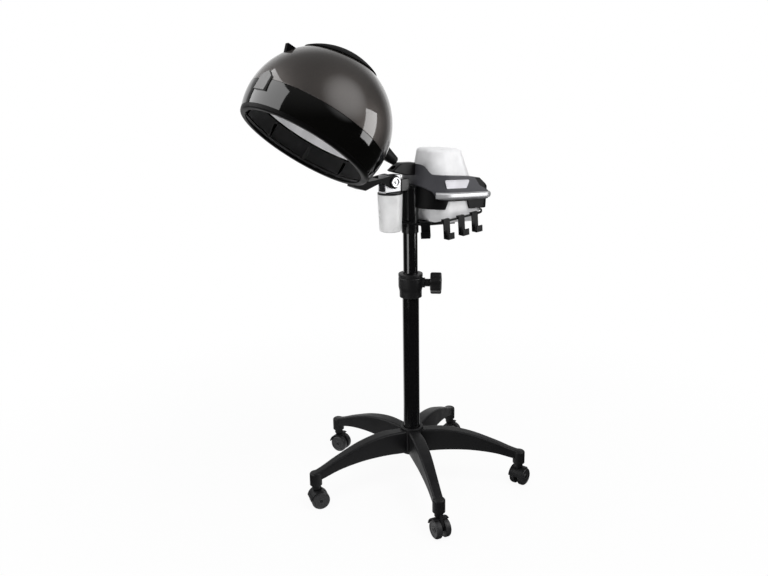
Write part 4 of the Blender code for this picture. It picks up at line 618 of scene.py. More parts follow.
def unit_plan(grow=0.0):
    return plan(unit_half, -0.005, unit_rear, nose_radius, tail_radius, grow)


def tub_plan(grow=0.0):
    return plan(0.0735, 0.030, 0.190, 0.045, 0.026, grow)


chassis_black = moulded("chassis_black", (0.0040, 0.0040, 0.0042), 0.42, 0.0009, 0.14, specular=0.10)
cover_wall = 0.005
chassis_foot = 0.067
chassis_top = 0.1485
tub_top = 0.0915
notch_top = 0.0885
far_side = 0.1
chassis = slab(unit_plan(-cover_wall - seat_gap), chassis_foot, chassis_top)
rounded(chassis, 0.0016, 3, 60.0)
sleeve_space = rod(sleeve_radius + seat_gap, -0.01, 0.1213, 64)
notch = slab([(0.050, 0.0), (0.134, 0.0), (0.134, chassis_foot), (0.126, notch_top), (0.058, notch_top),
              (0.050, chassis_foot)], -far_side, far_side, 'YZ')
slope_start = 0.162
slope_end = 0.114
beyond = unit_rear + 0.02
rear_slope = slab([(slope_start, chassis_top), (unit_rear, slope_end), (beyond, slope_end), (beyond, 0.30),
                   (slope_start, 0.30)], -far_side, far_side, 'YZ')
switch_axis = Vector(joints["switch_rock"]["pos_m"])
switch_space = boxed((0.0210, 0.040, 0.0154))
skirt_rear = unit_rear - cover_wall - seat_gap
gland_place = at_unit @ Matrix.Translation((-0.030, skirt_rear, 0.0745))
along_y = Matrix.Rotation(-math.pi / 2, 4, 'X')
gland_space = rod(0.0063, -0.03, 0.03, 32)
at_switch = Matrix.Translation(switch_axis) @ at_unit.to_3x3().to_4x4()
chassis = fused(placed(chassis, at_unit), 'DIFFERENCE', placed(sleeve_space, at_head),
                placed(slab(tub_plan(seat_gap), 0.0, tub_top + seat_gap), at_unit),
                placed(slab(tub_plan(-0.006), tub_top - 0.01, chassis_top - 0.020), at_unit),
                placed(notch, at_unit), placed(rear_slope, at_unit),
                placed(switch_space.copy(), at_switch),
                placed(gland_space.copy(), gland_place @ along_y))
finished("unit_tray", chassis, chassis_black, "mast", "moulded_black", "unit_chassis")


# White tub: drawn-in moulding that closes the unit from below, in gloss white ABS. The boiler, its heater,
# the steam pipe and the control board sit in it and stay as CAD solids in their own metals and lacquer.
tub_white = moulded("tub_white", (0.78, 0.78, 0.79), 0.32, 0.0030, 0.018, specular=0.35)
tub_middle = Vector((0.0, 0.110, 0.0))
tub_wall = 0.0025
tub = bmesh.new()
outline = [tub.verts.new((x, y, tub_top)) for x, y in tub_plan()]
loop = [tub.edges.new((outline[index - 1], outline[index])) for index in range(len(outline))]
size = 1.0
for height, share in ((0.062, 1.0), (0.052, 0.988), (0.043, 0.960), (0.0365, 0.928), (0.0322, 0.890),
                      (0.0304, 0.860), (0.030, 0.830), (0.030, 0.400)):
    grown = bmesh.ops.extrude_edge_only(tub, edges=loop)["geom"]
    ring = [item for item in grown if isinstance(item, bmesh.types.BMVert)]
    loop = [item for item in grown if isinstance(item, bmesh.types.BMEdge)]
    for vert in ring:
        vert.co = tub_middle + (vert.co - tub_middle) * (share / size)
        vert.co.z = height
    size = share
bmesh.ops.contextual_create(tub, geom=loop)
bmesh.ops.recalc_face_normals(tub, faces=tub.faces)
bmesh.ops.solidify(tub, geom=tub.faces[:], thickness=tub_wall)
tub = fused(placed(tub, at_unit), 'DIFFERENCE', placed(switch_space, at_switch),
            placed(gland_space, gland_place @ along_y))
finished("unit_tub", tub, tub_white, "mast", "unit_white", "unit_base")
aluminium = plated("cast_aluminium", (0.58, 0.58, 0.59), 0.45, 0.25)
board_lacquer = moulded("board_lacquer", (0.03, 0.15, 0.07), 0.40, 0.0020, 0.20)
dressed("boiler", aluminium)
dressed("heater", aluminium)
dressed("steam_pipe", steel)
dressed("control_board", board_lacquer)


# Grey cover: satin moulding that drops over the tray, high at the nose and stepped down along the tank to the
# tail, with an opening for the tank and a recess for the display window.
def filleted(corners, radius, steps=6):
    """Outline with every corner rounded to one radius, limited by the sides that meet there."""
    outline = []
    for index, corner in enumerate(corners):
        here = Vector(corner)
        before = Vector(corners[index - 1]) - here
        after = Vector(corners[(index + 1) % len(corners)]) - here
        reach = min(radius / math.tan(before.angle(after) / 2), 0.45 * before.length, 0.45 * after.length)
        start = here + before.normalized() * reach
        end = here + after.normalized() * reach
        for step in range(steps + 1):
            share = step / steps
            rest = 1 - share
            outline.append(tuple(rest ** 2 * start + 2 * share * rest * here + share ** 2 * end))
    return outline


def tank_plan(grow=0.0):
    return plan(0.063, 0.024, 0.158, 0.045, 0.030, grow)


cover_grey = moulded("cover_grey", (0.050, 0.050, 0.056), 0.46, 0.0009, 0.16, specular=0.20)
cover_top = 0.182
cover_foot = 0.0925
side_outline = filleted([(-0.025, 0.142), (0.018, 0.112), (0.030, cover_foot), (0.230, cover_foot),
                         (0.230, 0.103), (0.196, 0.1135), (0.160, 0.1285), (0.138, 0.152), (0.012, 0.1565),
                         (-0.001, cover_top), (-0.025, cover_top)], 0.012)
side_view = slab(side_outline, -0.12, 0.12, 'YZ')
window_outline = filleted([(0.046, 0.1225), (0.114, 0.1225), (0.123, 0.145), (0.037, 0.145)], 0.0043)
window_back = unit_half - 0.0015
cover = slab(unit_plan(), cover_foot - 0.01, cover_top + 0.01)
cover = fused(cover, 'INTERSECT', side_view)
cover = fused(cover, 'DIFFERENCE', slab(unit_plan(-cover_wall), 0.0, chassis_top + seat_gap),
              slab(tank_plan(0.001), chassis_top - 0.02, cover_top + 0.02),
              slab(window_outline, window_back - seat_gap, 0.12, 'YZ'))
cover_piece = finished("unit_cover", placed(cover, at_unit), cover_grey, "mast", "bezel_dark_grey",
                       "unit_bezel")
mould_radius = cover_piece.modifiers.new("mould_radius", 'BEVEL')
mould_radius.width = 0.0012
mould_radius.segments = 2
mould_radius.limit_method = 'ANGLE'
mould_radius.angle_limit = math.radians(32.0)
mould_radius.use_clamp_overlap = True
cover_piece.modifiers.move(len(cover_piece.modifiers) - 1, 0)


# Display window: pale tinted acrylic set in the cover's recess.
# A narrow border stands a little proud of the pane.
window_pale = moulded("window_pale", (0.58, 0.57, 0.61), 0.20, 0.006, 0.03, specular=0.30)
pane_outline = filleted([(0.0467, 0.1229), (0.1133, 0.1229), (0.1222, 0.1446), (0.0378, 0.1446)], 0.0040)
pane = slab(pane_outline, window_back, unit_half + seat_gap, 'YZ')
face = max(pane.faces, key=lambda side: side.calc_center_median().x)
bmesh.ops.inset_region(pane, faces=[face], thickness=0.0022)
bmesh.ops.inset_region(pane, faces=[face], thickness=0.0006, depth=-0.0005)
finished("window_pane", placed(pane, at_unit), window_pale, "mast", "window_pale", "display_window")


# Trim bars: D-section strips in metallised plastic under a satin lacquer, clipped along both sides of
# the cover and running on round the curves of its nose and tail.
bar_chrome = plated("bar_chrome", (0.44, 0.44, 0.45), 0.33, 0.02)
tuned(bar_chrome.node_tree.nodes["Principled BSDF"], Metallic=0.45)
bar_foot = 0.0955
bar_top = 0.1125
bar_proud = 0.0075


def side_path(grow):
    """Line along the cover's left side, which is +X, from the nose's curve to the tail's."""
    return (arc((0.015, 0.065), nose_radius + grow, -38, 0, 14)
            + arc((0.055, unit_rear - tail_radius), tail_radius + grow, 0, 32, 14))


for side, mirror in (("left", 1), ("right", -1)):
    bar = slab(side_path(bar_proud) + side_path(seat_gap)[::-1], bar_foot, bar_top)
    outside = {(round(x, 5), round(y, 5)) for x, y in side_path(bar_proud)}
    crest = [edge for edge in bar.edges if abs(edge.verts[0].co.z - edge.verts[1].co.z) < 0.001
             and all((round(vert.co.x, 5), round(vert.co.y, 5)) in outside for vert in edge.verts)]
    bevelled(bar, crest, 0.0060, 8)
    bar.transform(Matrix.Scale(mirror, 4, (1, 0, 0)))
    finished("trim_strip_%s" % side, placed(bar, at_unit), bar_chrome, "mast", "chrome", "trim_bar_%s" % side)


# Water tank: white ABS tank with a rounded, drawn-in top that lifts straight off the tray.
# The black valve cap in its foot stays as the CAD solid.
tank_white = moulded("tank_white", (0.74, 0.74, 0.75), 0.34, 0.0035, 0.015, specular=0.30)
tank_foot = chassis_top + seat_gap
tank_middle = 0.091
tank_height = 0.0715
tank_draw = 0.78
tank_shift = 0.010
tank = slab([(x, y - tank_middle) for x, y in tank_plan()], 0.0, tank_height)
for vert in tank.verts:
    if vert.co.z > tank_height / 2:
        vert.co.x *= tank_draw
        vert.co.y = vert.co.y * tank_draw - tank_shift
top_edges = [edge for edge in tank.edges if all(vert.co.z > tank_height / 2 for vert in edge.verts)]
bevelled(tank, top_edges, 0.010, 7)
foot_edges = [edge for edge in tank.edges if all(vert.co.z < 0.001 for vert in edge.verts)]
bevelled(tank, foot_edges, 0.0012, 2)
tank = fused(tank, 'DIFFERENCE', rod(0.016, -0.01, 0.0103, 48))
tank = placed(tank, at_unit @ Matrix.Translation((0, tank_middle, tank_foot)))
finished("tank_shell", tank, tank_white, "tank", "tank_white", "water_tank")
dressed("tank_cap", acetal)


# Steam nozzle: black moulded spout fixed on the cover's nose.
# Its mouth is cut to face the hood's inlet when the hood is up.
nozzle_black = moulded("nozzle_black", (0.0040, 0.0040, 0.0042), 0.40, 0.0010, 0.12, specular=0.16)
nozzle_side = [(-0.0758, 0.1636), (-0.0712, 0.1605), (-0.0361, 0.1525), (0.021, 0.1525), (0.021, 0.1850),
               (-0.0489, 0.1834), (-0.0570, 0.1785)]
nozzle = slab(nozzle_side, -0.0145, 0.0145, 'YZ')
rounded(nozzle, 0.0028, 4, 20.0)
low_lip, high_lip = nozzle_side[0], nozzle_side[-1]
slope = math.atan2(high_lip[1] - low_lip[1], high_lip[0] - low_lip[0])
mouth_middle = [(high_lip[axis] + low_lip[axis]) / 2 for axis in (0, 1)]
at_mouth = Matrix.Translation((0.0, *mouth_middle)) @ Matrix.Rotation(slope, 4, 'X')
mouth_space = spun([(0.0, -0.016), (0.0068, -0.016), (0.0075, -0.002), (0.0085, 0.010), (0.0, 0.010)], 40)
nozzle = fused(nozzle, 'DIFFERENCE', slab(unit_plan(seat_gap), 0.0, 0.38), placed(mouth_space, at_mouth))
finished("nozzle_spout", placed(nozzle, at_unit), nozzle_black, "mast", "moulded_black", "steam_nozzle")


# Rear of the skirt: a plain rocker switch with a curved face that tips in its opening,
# and the ribbed rubber gland for the mains lead.
switch_black = moulded("switch_black", (0.0090, 0.0090, 0.0090), 0.26, 0.0015, 0.06)
rubber = moulded("rubber", (0.0140, 0.0140, 0.0140), 0.62, 0.0008, 0.25, specular=0.25)
rocker_back = [(-0.0024, 0.00585), (-0.0024, -0.00585)]
rocker = slab(arc((-0.030, 0.0), 0.036, -10.4, 10.4, 10) + rocker_back, -0.010, 0.010, 'YZ')
rounded(rocker, 0.0007, 2, 40.0)
finished("rocker", placed(rocker, at_switch), switch_black, "switch", "moulded_black", "power_switch")
gland_side = [(0.0060, -0.0050), (0.0060, seat_gap), (0.0085, seat_gap), (0.0085, 0.0050)]
for step in range(3):
    along = 0.0026 * step
    taper = 0.0006 * step
    groove = 0.0069 - 0.0004 * step
    gland_side += [(0.0081 - taper, 0.0058 + along), (groove, 0.0064 + along), (groove, 0.0072 + along),
                   (0.0079 - taper, 0.0078 + along)]
gland = spun(gland_side + [(0.0060, 0.0140), (0.0045, 0.0140), (0.0045, -0.0050)], 40, closed=True)
gland = placed(rounded(gland, 0.0003, 2), gland_place @ along_y)
finished("lead_gland", gland, rubber, "mast", "moulded_black", "cable_gland")


# Accessory rack: a moulded strip bent round the sleeve and under the unit, for combs and clips.
# Clip-on hooks hang from its sides, three on each, and one more on each bend at the front.
rack_black = moulded("rack_black", (0.0035, 0.0035, 0.0037), 0.30, 0.0010, 0.12, specular=0.08)
at_rack = at_head @ Matrix.Translation((0, 0, 0.030)) @ Matrix.Rotation(math.radians(4), 4, 'X')
rack_height = 0.006
rack_sheet = 0.003
rack_half = 0.0900
rack_rear = 0.200
bend = 0.062
tail_bend = 0.045
rack_front = -sleeve_radius - seat_gap - rack_sheet
rack_size = (rack_half, rack_front, rack_rear, bend, tail_bend)
rack_space = slab(plan(*rack_size, -rack_sheet), -0.01, rack_height + 0.01)
rack = slab(plan(*rack_size), 0.0, rack_height)
rack = fused(rack, 'DIFFERENCE', rack_space)
rack = placed(rounded(rack, 0.0009, 2, 60.0), at_rack)
finished("rack_strip", rack, rack_black, "mast", "moulded_black", "rack_ring")
hook_sheet = 0.0032
hook_half = 0.011
hook_foot = -0.042
outer = rack_half + seat_gap
inner = rack_half - rack_sheet - seat_gap
roof = rack_height + seat_gap
tip = outer + 0.013 + hook_sheet
seat_top = hook_foot + hook_sheet
tip_top = hook_foot + hook_sheet + 0.014
hook_side = [(inner - hook_sheet, roof + hook_sheet), (inner - hook_sheet, 0.0), (inner, 0.0), (inner, roof),
             (outer, roof), (outer, hook_foot), (tip + hook_sheet, hook_foot), (tip + hook_sheet, tip_top),
             (tip, tip_top), (tip, seat_top), (outer + hook_sheet, seat_top),
             (outer + hook_sheet, roof + hook_sheet)]
short_side = [(x, z + 0.012 if z < -0.01 else z) for x, z in hook_side]
round_bend = (Matrix.Translation((rack_half - bend, rack_front + bend, 0))
              @ Matrix.Rotation(math.radians(-44), 4, 'Z')
              @ Matrix.Translation((bend - rack_half, 0, 0)))


def clip(outline, low, high, mirror, *moves):
    """Bent strip that hangs on the rack's left side, which is +X, or mirrored on its right."""
    hook = rounded(slab(outline, low, high, 'XZ'), 0.0010, 3)
    return placed(hook, at_rack, Matrix.Scale(mirror, 4, (1, 0, 0)), *moves)


for index, place in enumerate((0.047, 0.098, 0.145), 1):
    for side, mirror in (("left", 1), ("right", -1)):
        finished("clip_%s_%d" % (side, index), clip(hook_side, place - hook_half, place + hook_half, mirror),
                 rack_black, "mast", "moulded_black", "hook_%s_%d" % (side, index))
for side, mirror in (("left", 1), ("right", -1)):
    finished("nose_clip_%s" % side, clip(short_side, -0.012, 0.012, mirror, round_bend), rack_black, "mast",
             "moulded_black")


# Hood dome: blow-moulded polycarbonate sprayed in brown-grey pearl under a clear lacquer.
# Its edge sits on the black band in a fine shadow line.
hood_tilt = math.radians(37.3)
hood_reach = 0.2628
hood_drop = 0.0056
at_arm = at_pivot @ Matrix.Rotation(-hood_tilt, 4, 'X')
at_hood = at_arm @ Matrix.Translation((0, -hood_reach, -hood_drop))
dome_radius = 0.180
dome_wall = 0.003
dome_edge = 0.003


def ball(radius, start, end, steps):
    """Points down a ball's side, angles in degrees from the crown."""
    turns = [math.radians(start + (end - start) * step / steps) for step in range(steps + 1)]
    return [(radius * math.sin(turn), radius * math.cos(turn)) for turn in turns]


def edge_angle(radius, height):
    return math.degrees(math.acos(height / radius))


def lacquered(name, colour, roughness, metallic, flake):
    """Sprayed lacquer: metal flakes of many shades under a smooth clear coat."""
    material, tree, shader = blank(name)
    tuned(shader, Metallic=metallic, Coat_Weight=1.0, Coat_Roughness=0.02, Coat_IOR=1.5)
    place = added(tree, "TexCoord").outputs["Object"]
    flakes = added(tree, "TexVoronoi", Scale=1.0 / flake)
    drift = added(tree, "TexNoise", Scale=30.0, Detail=3.0)
    for pattern in (flakes, drift):
        tree.links.new(place, pattern.inputs["Vector"])
    tinted(tree, shader, flakes.outputs["Color"], colour, (0.0, 1.0), (0.80, 1.22))
    glossed(tree, shader, drift.outputs["Fac"], roughness, (0.92, 1.08))
    return material


dome_pearl = lacquered("dome_pearl", (0.056, 0.049, 0.045), 0.48, 0.80, 0.0006)
dome = spun(ball(dome_radius, 0, edge_angle(dome_radius, dome_edge), 48)
            + ball(dome_radius - dome_wall, edge_angle(dome_radius - dome_wall, dome_edge), 0, 48), 144)
edge_ring = [edge for edge in dome.edges if edge.calc_face_angle(0.0) > math.radians(50)]
bevelled(dome, edge_ring, 0.0007, 3)
finished("hood_shell", placed(dome, at_hood), dome_pearl, "hood", "dome_brown_grey", "hood_dome")


# Hood band: gloss black ABS ring under the dome, drawn in to its foot, with a lip that the dome is glued to.
# Ten satin panels line it inside, with narrow gaps between them.
band_gloss = moulded("band_gloss", (0.0014, 0.0014, 0.0012), 0.06, 0.010, 0.012, specular=0.5)
band_depth = 0.0555
band_wall = 0.0035
band_draw = 0.0095


def band_radius(height):
    """Outer radius of the band, drawing in from the middle to the foot."""
    return dome_radius - band_draw * (height / band_depth) ** 2


heights = [-band_depth * step / 16 for step in range(17)]
band_lip = [(band_radius(0), dome_edge - 0.0008), (band_radius(0) - 0.0005, dome_edge - seat_gap),
            (0.1766, dome_edge - seat_gap), (0.1759, 0.0130), (0.1737, 0.0130), (0.1744, 0.0)]
band = spun(band_lip + [(band_radius(z) - band_wall, z) for z in heights[1:]]
            + [(band_radius(z), z) for z in heights[::-1]], 144, closed=True)
finished("hood_ring", placed(band, at_hood), band_gloss, "hood", "gloss_black", "hood_band")
lining_grey = moulded("lining_grey", (0.0090, 0.0090, 0.0093), 0.34, 0.0012, 0.10, specular=0.30)
panel_outer = 0.1688
panel_inner = 0.1672
lining = bmesh.new()
for step in range(10):
    start = 36 * step + 4
    end = start + 33
    panel = slab(arc((0, 0), panel_outer, start, end, 12) + arc((0, 0), panel_inner, start, end, 12)[::-1],
                 -0.0470, -0.0080)
    rounded(panel, 0.0005, 2)
    sheet = bpy.data.meshes.new("panel")
    panel.to_mesh(sheet)
    panel.free()
    lining.from_mesh(sheet)
    bpy.data.meshes.remove(sheet)
finished("hood_lining_panels", placed(lining, at_hood), lining_grey, "hood", "moulded_black")


# Hood rim: dark moulded lip snapped onto the band's foot.
# It curves round below the band and turns in as a flat flange.
rim_black = moulded("rim_black", (0.0018, 0.0018, 0.0018), 0.40, 0.0016, 0.06, specular=0.05)
rim_top = -band_depth - seat_gap
rim_height = 0.0095
foot_radius = band_radius(-band_depth)
rim_side = [(0.0, 0.0), (0.0006, 0.0030), (0.0015, 0.0056), (0.0030, 0.0080), (0.0055, 0.0093),
            (0.0075, rim_height), (0.0150, rim_height), (0.0160, 0.0088), (0.0160, 0.0072), (0.0153, 0.0065),
            (0.0075, 0.0065), (0.0065, 0.0)]
rim = spun([(foot_radius - inward, rim_top - drop) for inward, drop in rim_side], 144, closed=True)
finished("hood_lip", placed(rim, at_hood), rim_black, "hood", "moulded_black", "hood_rim")


# Hood liner: pale grey vacuum-formed inner dome that spreads the steam, clipped inside the band's lip,
# with the steam outlet at its rear.
liner_grey = moulded("liner_grey", (0.84, 0.84, 0.85), 0.42, 0.0030, 0.06)
liner_radius = 0.170
liner_wall = 0.0025
liner_edge = 0.0060
liner_skirt = -0.0030
liner = spun(ball(liner_radius, 0, edge_angle(liner_radius, liner_edge + liner_wall), 40)
             + [(0.1732, liner_edge + liner_wall), (0.1732, liner_edge), (0.1716, liner_edge - 0.0010),
                (0.1710, liner_skirt + 0.0012), (0.1700, liner_skirt), (0.1685, liner_skirt),
                (0.1677, liner_skirt + 0.0010)]
             + ball(liner_radius - liner_wall, edge_angle(liner_radius - liner_wall, 0.0), 0, 40), 144)
at_inlet = Matrix.Translation((0, 0, 0.056)) @ along_y
inlet_bore = 0.008
outlet = placed(rod(inlet_bore, 0.119, 0.180, 40), at_inlet)
liner = fused(liner, 'DIFFERENCE', outlet)
finished("hood_lining", placed(liner, at_hood), liner_grey, "hood", "liner_pale_grey", "hood_liner")


# Trim on the hood: a thin black cap over the crown, a small fin for lifting the hood's front,
# and a five-sided tab on the front of the band, sprayed like the dome.
trim_black = moulded("trim_black", (0.0016, 0.0016, 0.0016), 0.55, 0.0012, 0.08, specular=0.03)
seat = dome_radius + seat_gap
cap_angle = 30.5
cap_side = []
for step in range(25):
    share = step / 24
    turn = math.radians((cap_angle - 0.4) * share)
    height = dome_radius + 0.0068 - 0.0036 * share * share
    cap_side.append((height * math.sin(turn), height * math.cos(turn)))
cap_edge = ball(dome_radius + 0.0020, cap_angle, cap_angle, 1)
crown = spun(cap_side + cap_edge + ball(seat, cap_angle - 0.2, 0, 24), 96)
crown = placed(crown, at_hood @ Matrix.Rotation(math.radians(10), 4, 'X'))
finished("crown_cover", crown, trim_black, "hood", "moulded_black", "crown_cap")
fin_foot = dome_radius - 0.002
fin_top = dome_radius + 0.016
fin = slab([(-0.011, fin_foot), (0.019, fin_foot), (0.0050, fin_top), (0.0030, fin_top)],
           -0.0065, 0.0065, 'YZ')
rounded(fin, 0.0008, 3)
at_fin = at_hood @ Matrix.Rotation(math.radians(-5), 4, 'Z') @ Matrix.Rotation(math.radians(57), 4, 'X')
finished("lift_fin", placed(fin, at_fin), trim_black, "hood", "moulded_black", "front_fin")
tab_outline = [(-0.019, -0.027), (0.019, -0.027), (0.019, 0.010), (0.0, 0.023), (-0.019, 0.010)]
tab = slab(tab_outline, -dome_radius - 0.0035, -dome_radius * 0.975, 'XZ')
rounded(tab, 0.0010, 3)
tab_pearl = lacquered("tab_pearl", (0.045, 0.044, 0.043), 0.52, 0.30, 0.0006)
tuned(tab_pearl.node_tree.nodes["Principled BSDF"], Coat_Weight=0.4)
tab = placed(tab, at_hood @ Matrix.Rotation(math.radians(7), 4, 'Z'))
finished("front_plate", tab, tab_pearl, "hood", "dome_brown_grey", "front_tab")


# Steam inlet: tapered black moulded spout fixed on the dome's rear.
# It points at the unit's nozzle when the hood is up.
inlet_black = moulded("inlet_black", (0.0040, 0.0040, 0.0042), 0.46, 0.0010, 0.10, specular=0.15)
inlet = spun([(inlet_bore, 0.150), (0.0245, 0.150), (0.0205, 0.190), (0.0118, 0.2455), (0.0112, 0.2466),
              (0.0100, 0.247), (0.0085, 0.2465), (inlet_bore, 0.2450)], 56, closed=True)
hood_solid = spun(ball(seat, 0, 100, 60) + [(0.0, -0.05)], 96)
inlet = fused(placed(inlet, at_inlet), 'DIFFERENCE', hood_solid)
finished("inlet_spout", placed(inlet, at_hood), inlet_black, "hood", "moulded_black", "steam_inlet")


# Hood arm: heavy moulded fork in satin black that turns on the pivot bolt.
# Its shoe is screwed to the band and reaches under the lip.
arm_black = moulded("arm_black", (0.0030, 0.0030, 0.0032), 0.40, 0.0010, 0.12, specular=0.09)
ear_outer = bolt_seat - run_gap
ear_step = 0.001
ear_radius = 0.0157
ear_round = 0.0015
shoe_draw = 0.38
shoe_length = 0.030
band_rear = -hood_reach + band_radius(-0.5 * band_depth)
arm_foot = -hood_drop + rim_top - rim_height - 0.004
arm_outline = filleted([(0.004, -0.0165), (-0.004, 0.0165), (-0.014, 0.0105), (-0.034, -0.009),
                        (band_rear + 0.019, -0.040), (band_rear - 0.002, -0.046), (band_rear - 0.011, -0.050),
                        (band_rear - 0.011, arm_foot), (band_rear + 0.022, arm_foot + 0.010),
                        (-0.036, -0.0245)], 0.004)
arm = slab(arm_outline, ear_step - ear_outer, ear_outer - ear_step, 'YZ')
for vert in arm.verts:
    along_shoe = min(max((band_rear + shoe_length - vert.co.y) / shoe_length, 0.0), 1.0)
    vert.co.x *= 1.0 - shoe_draw * along_shoe
rounded(arm, 0.0022, 3, 60.0)
ear_side = ([(0.0, -ear_outer)] + arc((ear_radius, ear_round - ear_outer), ear_round, -90, 0, 3)
            + arc((ear_radius, ear_outer - ear_round), ear_round, 0, 90, 3) + [(0.0, ear_outer)])
ears = placed(spun(ear_side, 56), along_x)
slot = boxed((0.0330, 0.142, 0.2), (0, 0.029, 0))
bolt_space = placed(rod(0.005, -0.05, 0.05, 32), along_x)
hood_form = spun(ball(seat, 0, edge_angle(seat, 0), 40)
                 + [(band_radius(z) + seat_gap, z) for z in heights[1:]]
                 + [(foot_radius - 0.0006, rim_top - 0.0040), (foot_radius - 0.0014, rim_top - 0.0075),
                    (foot_radius - 0.0050, rim_top - 0.0098), (0.0, rim_top - 0.0098)], 144)
arm = fused(arm, 'UNION', ears)
hood_form = placed(hood_form, Matrix.Translation((0, -hood_reach, -hood_drop)))
arm = fused(arm, 'DIFFERENCE', slot, bolt_space, hood_form)
finished("hood_fork", placed(arm, at_arm), arm_black, "hood", "moulded_black", "hood_arm")


# Studio: a pale floor under a white surround, soft boxes on both sides, and a dark tent with a soft glow
# overhead. The tent only shows mirrored: it keeps the black gloss black.
scene = bpy.context.scene
scene.view_settings.view_transform = 'Standard'
eye = Vector((mast.x + 1.7143, mast.y - 1.3499, 1.171))
ahead = Vector((-0.8056, 0.5925, 0.0)).normalized()
pitch = math.radians(15.39)
roll = math.radians(-0.97)
focal_pixels = 840.3
picture_width = 768
forward = ahead * math.cos(pitch) - Vector((0, 0, 1)) * math.sin(pitch)
level = forward.cross(Vector((0, 0, 1))).normalized()
upright = level.cross(forward)
right = level * math.cos(roll) + upright * math.sin(roll)
above = right.cross(forward)
camera_data = bpy.data.cameras.new("camera")
camera_data.sensor_width = 36.0
camera_data.lens = focal_pixels / picture_width * camera_data.sensor_width
camera = bpy.data.objects.new("camera", camera_data)
camera.matrix_world = Matrix.Translation(eye) @ Matrix((right, above, -forward)).transposed().to_4x4()
scene.collection.objects.link(camera)
scene.camera = camera


def seen_rays(tree):
    """1 for rays that show the background: from the camera, or mirrored or refracted on their way."""
    path = added(tree, "LightPath")
    seen = path.outputs["Is Camera Ray"]
    for kind in ("Is Glossy Ray", "Is Transmission Ray"):
        either = added(tree, "Math")
        either.operation = 'MAXIMUM'
        tree.links.new(seen, either.inputs[0])
        tree.links.new(path.outputs[kind], either.inputs[1])
        seen = either.outputs[0]
    return seen


def chosen(tree, share, lit, seen, output):
    """Surface that lights as one shader and shows as another."""
    choice = added(tree, "MixShader")
    tree.links.new(share, choice.inputs["Fac"])
    tree.links.new(lit.outputs[0], choice.inputs[1])
    tree.links.new(seen.outputs[0], choice.inputs[2])
    tree.links.new(choice.outputs[0], tree.nodes[output].inputs["Surface"])


world = bpy.data.worlds.new("studio")
scene.world = world
world.use_nodes = True
ambient = world.node_tree.nodes["Background"]
tuned(ambient, Color=(1.0, 1.0, 1.0, 1.0), Strength=0.58)
white = added(world.node_tree, "Background", Color=(1.0, 1.0, 1.0, 1.0), Strength=1.0)
chosen(world.node_tree, seen_rays(world.node_tree), ambient, white, "World Output")


def card(name, width, height, place, target):
    """Flat stage card that faces a target."""
    bm = bmesh.new()
    bmesh.ops.create_grid(bm, x_segments=1, y_segments=1, size=0.5)
    bmesh.ops.scale(bm, vec=(width, height, 1.0), verts=bm.verts)
    mesh = bpy.data.meshes.new(name)
    bm.to_mesh(mesh)
    bm.free()
    sheet = bpy.data.objects.new(name, mesh)
    facing = (Vector(target) - Vector(place)).to_track_quat('Z', 'Y')
    sheet.matrix_world = Matrix.Translation(place) @ facing.to_matrix().to_4x4()
    scene.collection.objects.link(sheet)
    return sheet


floor = card("floor", 60.0, 60.0, (0, 0, 0), (0, 0, 1))
floor_white, tree, paint = blank("floor_white")
tuned(paint, Base_Color=(0.80, 0.80, 0.80, 1.0), Roughness=0.9, Specular_IOR_Level=0.0)
bright = added(tree, "Emission", Strength=1.0)
reach = added(tree, "VectorMath")
reach.operation = 'LENGTH'
tree.links.new(added(tree, "TexCoord").outputs["Object"], reach.inputs[0])
fade = added(tree, "MapRange", From_Min=0.5, From_Max=1.5, To_Min=0.93, To_Max=1.0)
tree.links.new(reach.outputs["Value"], fade.inputs["Value"])
share = added(tree, "Math")
share.operation = 'MULTIPLY'
tree.links.new(seen_rays(tree), share.inputs[0])
tree.links.new(fade.outputs["Result"], share.inputs[1])
chosen(tree, share.outputs[0], paint, bright, "Material Output")
floor.data.materials.append(floor_white)

hood_middle = at_hood.to_translation()


def lamp(name, power, width, height, bearing, rise, distance):
    """Soft box at a bearing and a rise in degrees from the hood, facing it."""
    azimuth, elevation = math.radians(bearing), math.radians(rise)
    way = Vector((math.cos(azimuth) * math.cos(elevation), math.sin(azimuth) * math.cos(elevation),
                  math.sin(elevation)))
    light = bpy.data.lights.new(name, 'AREA')
    light.shape = 'RECTANGLE'
    light.size = width
    light.size_y = height
    light.energy = power
    holder = bpy.data.objects.new(name, light)
    holder.matrix_world = (Matrix.Translation(hood_middle + way * distance)
                           @ (-way).to_track_quat('-Z', 'Y').to_matrix().to_4x4())
    holder.visible_camera = False
    scene.collection.objects.link(holder)
    return holder


soft_box = lamp("soft_box", 10.8, 0.60, 0.95, 49.5, -3, 1.5)
soft_box.matrix_world = soft_box.matrix_world @ Matrix.Rotation(math.radians(-25), 4, 'Z')
left_box = lamp("left_box", 48.0, 2.0, 2.1, -123, 20, 1.6)
for mirrored in (soft_box, left_box):
    mirrored.visible_diffuse = False
lamp("low_fill", 14.0, 1.2, 1.2, -75, -22, 2.2)
key = lamp("key", 42.0, 1.6, 1.6, 10, 50, 2.4)
fill = lamp("fill", 14.0, 1.6, 1.6, -70, 35, 2.6)
for plain in (key, fill):
    plain.visible_glossy = False

tent = bmesh.new()
tent_radius = 4.0
tent_foot = 0.004
bmesh.ops.create_uvsphere(tent, u_segments=96, v_segments=48, radius=tent_radius)


def open_side(spot):
    """True below the hem and on the side behind the object, where the white surround shows."""
    bearing = math.degrees(math.atan2(spot.y, spot.x)) % 360
    return spot.z < tent_foot or (116 < bearing < 190 and spot.z < 0.45 * tent_radius)


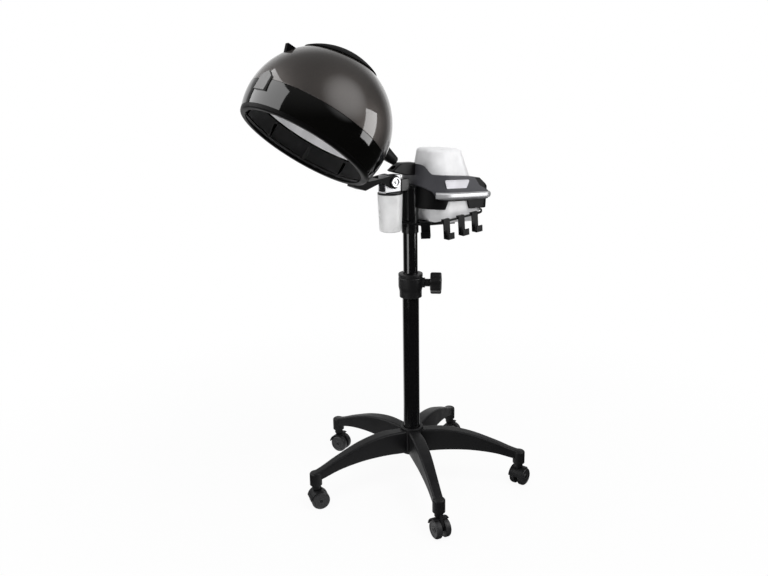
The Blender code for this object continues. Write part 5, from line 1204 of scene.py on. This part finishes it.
bmesh.ops.delete(tent, geom=[vert for vert in tent.verts if open_side(vert.co)], context='VERTS')
hem = [(tent_radius, 0.30), (tent_radius, tent_foot), (0.30, tent_foot)]
turns = [math.radians(turn) for turn in range(-168, 117, 4)]
rings = [[tent.verts.new((radius * math.cos(turn), radius * math.sin(turn), height)) for turn in turns]
         for radius, height in hem]
for low, high in zip(rings, rings[1:]):
    for step in range(len(low) - 1):
        tent.faces.new((low[step], low[step + 1], high[step + 1], high[step]))
tent_mesh = bpy.data.meshes.new("tent")
tent.to_mesh(tent_mesh)
tent.free()
tent_cloth, tree = blank("tent_cloth")[:2]
way = added(tree, "VectorMath")
way.operation = 'NORMALIZE'
tree.links.new(added(tree, "TexCoord").outputs["Object"], way.inputs[0])


def towards(direction, start, end, low, high):
    """Brightness that rises smoothly as the tent's cloth lies nearer a direction."""
    aim = added(tree, "VectorMath")
    aim.operation = 'DOT_PRODUCT'
    tree.links.new(way.outputs[0], aim.inputs[0])
    aim.inputs[1].default_value = direction
    step = added(tree, "MapRange", From_Min=start, From_Max=end, To_Min=low, To_Max=high)
    step.interpolation_type = 'SMOOTHSTEP'
    tree.links.new(aim.outputs["Value"], step.inputs["Value"])
    return step.outputs["Result"]


total = towards((0.0, 0.0, 1.0), 0.40, 0.95, 0.02, 0.24)
for light in (towards((0.637, 0.227, 0.737), 0.86, 1.0, 0.0, 2.0),
              towards((-0.85, 0.51, 0.14), 0.50, 0.85, 0.0, 0.7)):
    both = added(tree, "Math")
    tree.links.new(total, both.inputs[0])
    tree.links.new(light, both.inputs[1])
    total = both.outputs[0]
shine = added(tree, "Emission")
tree.links.new(total, shine.inputs["Strength"])
tree.links.new(shine.outputs[0], tree.nodes["Material Output"].inputs["Surface"])
tent_mesh.materials.append(tent_cloth)
tent_side = bpy.data.objects.new("tent", tent_mesh)
scene.collection.objects.link(tent_side)
tent_side.visible_camera = False
tent_side.visible_diffuse = False
tent_side.visible_transmission = False
tent_side.visible_shadow = False
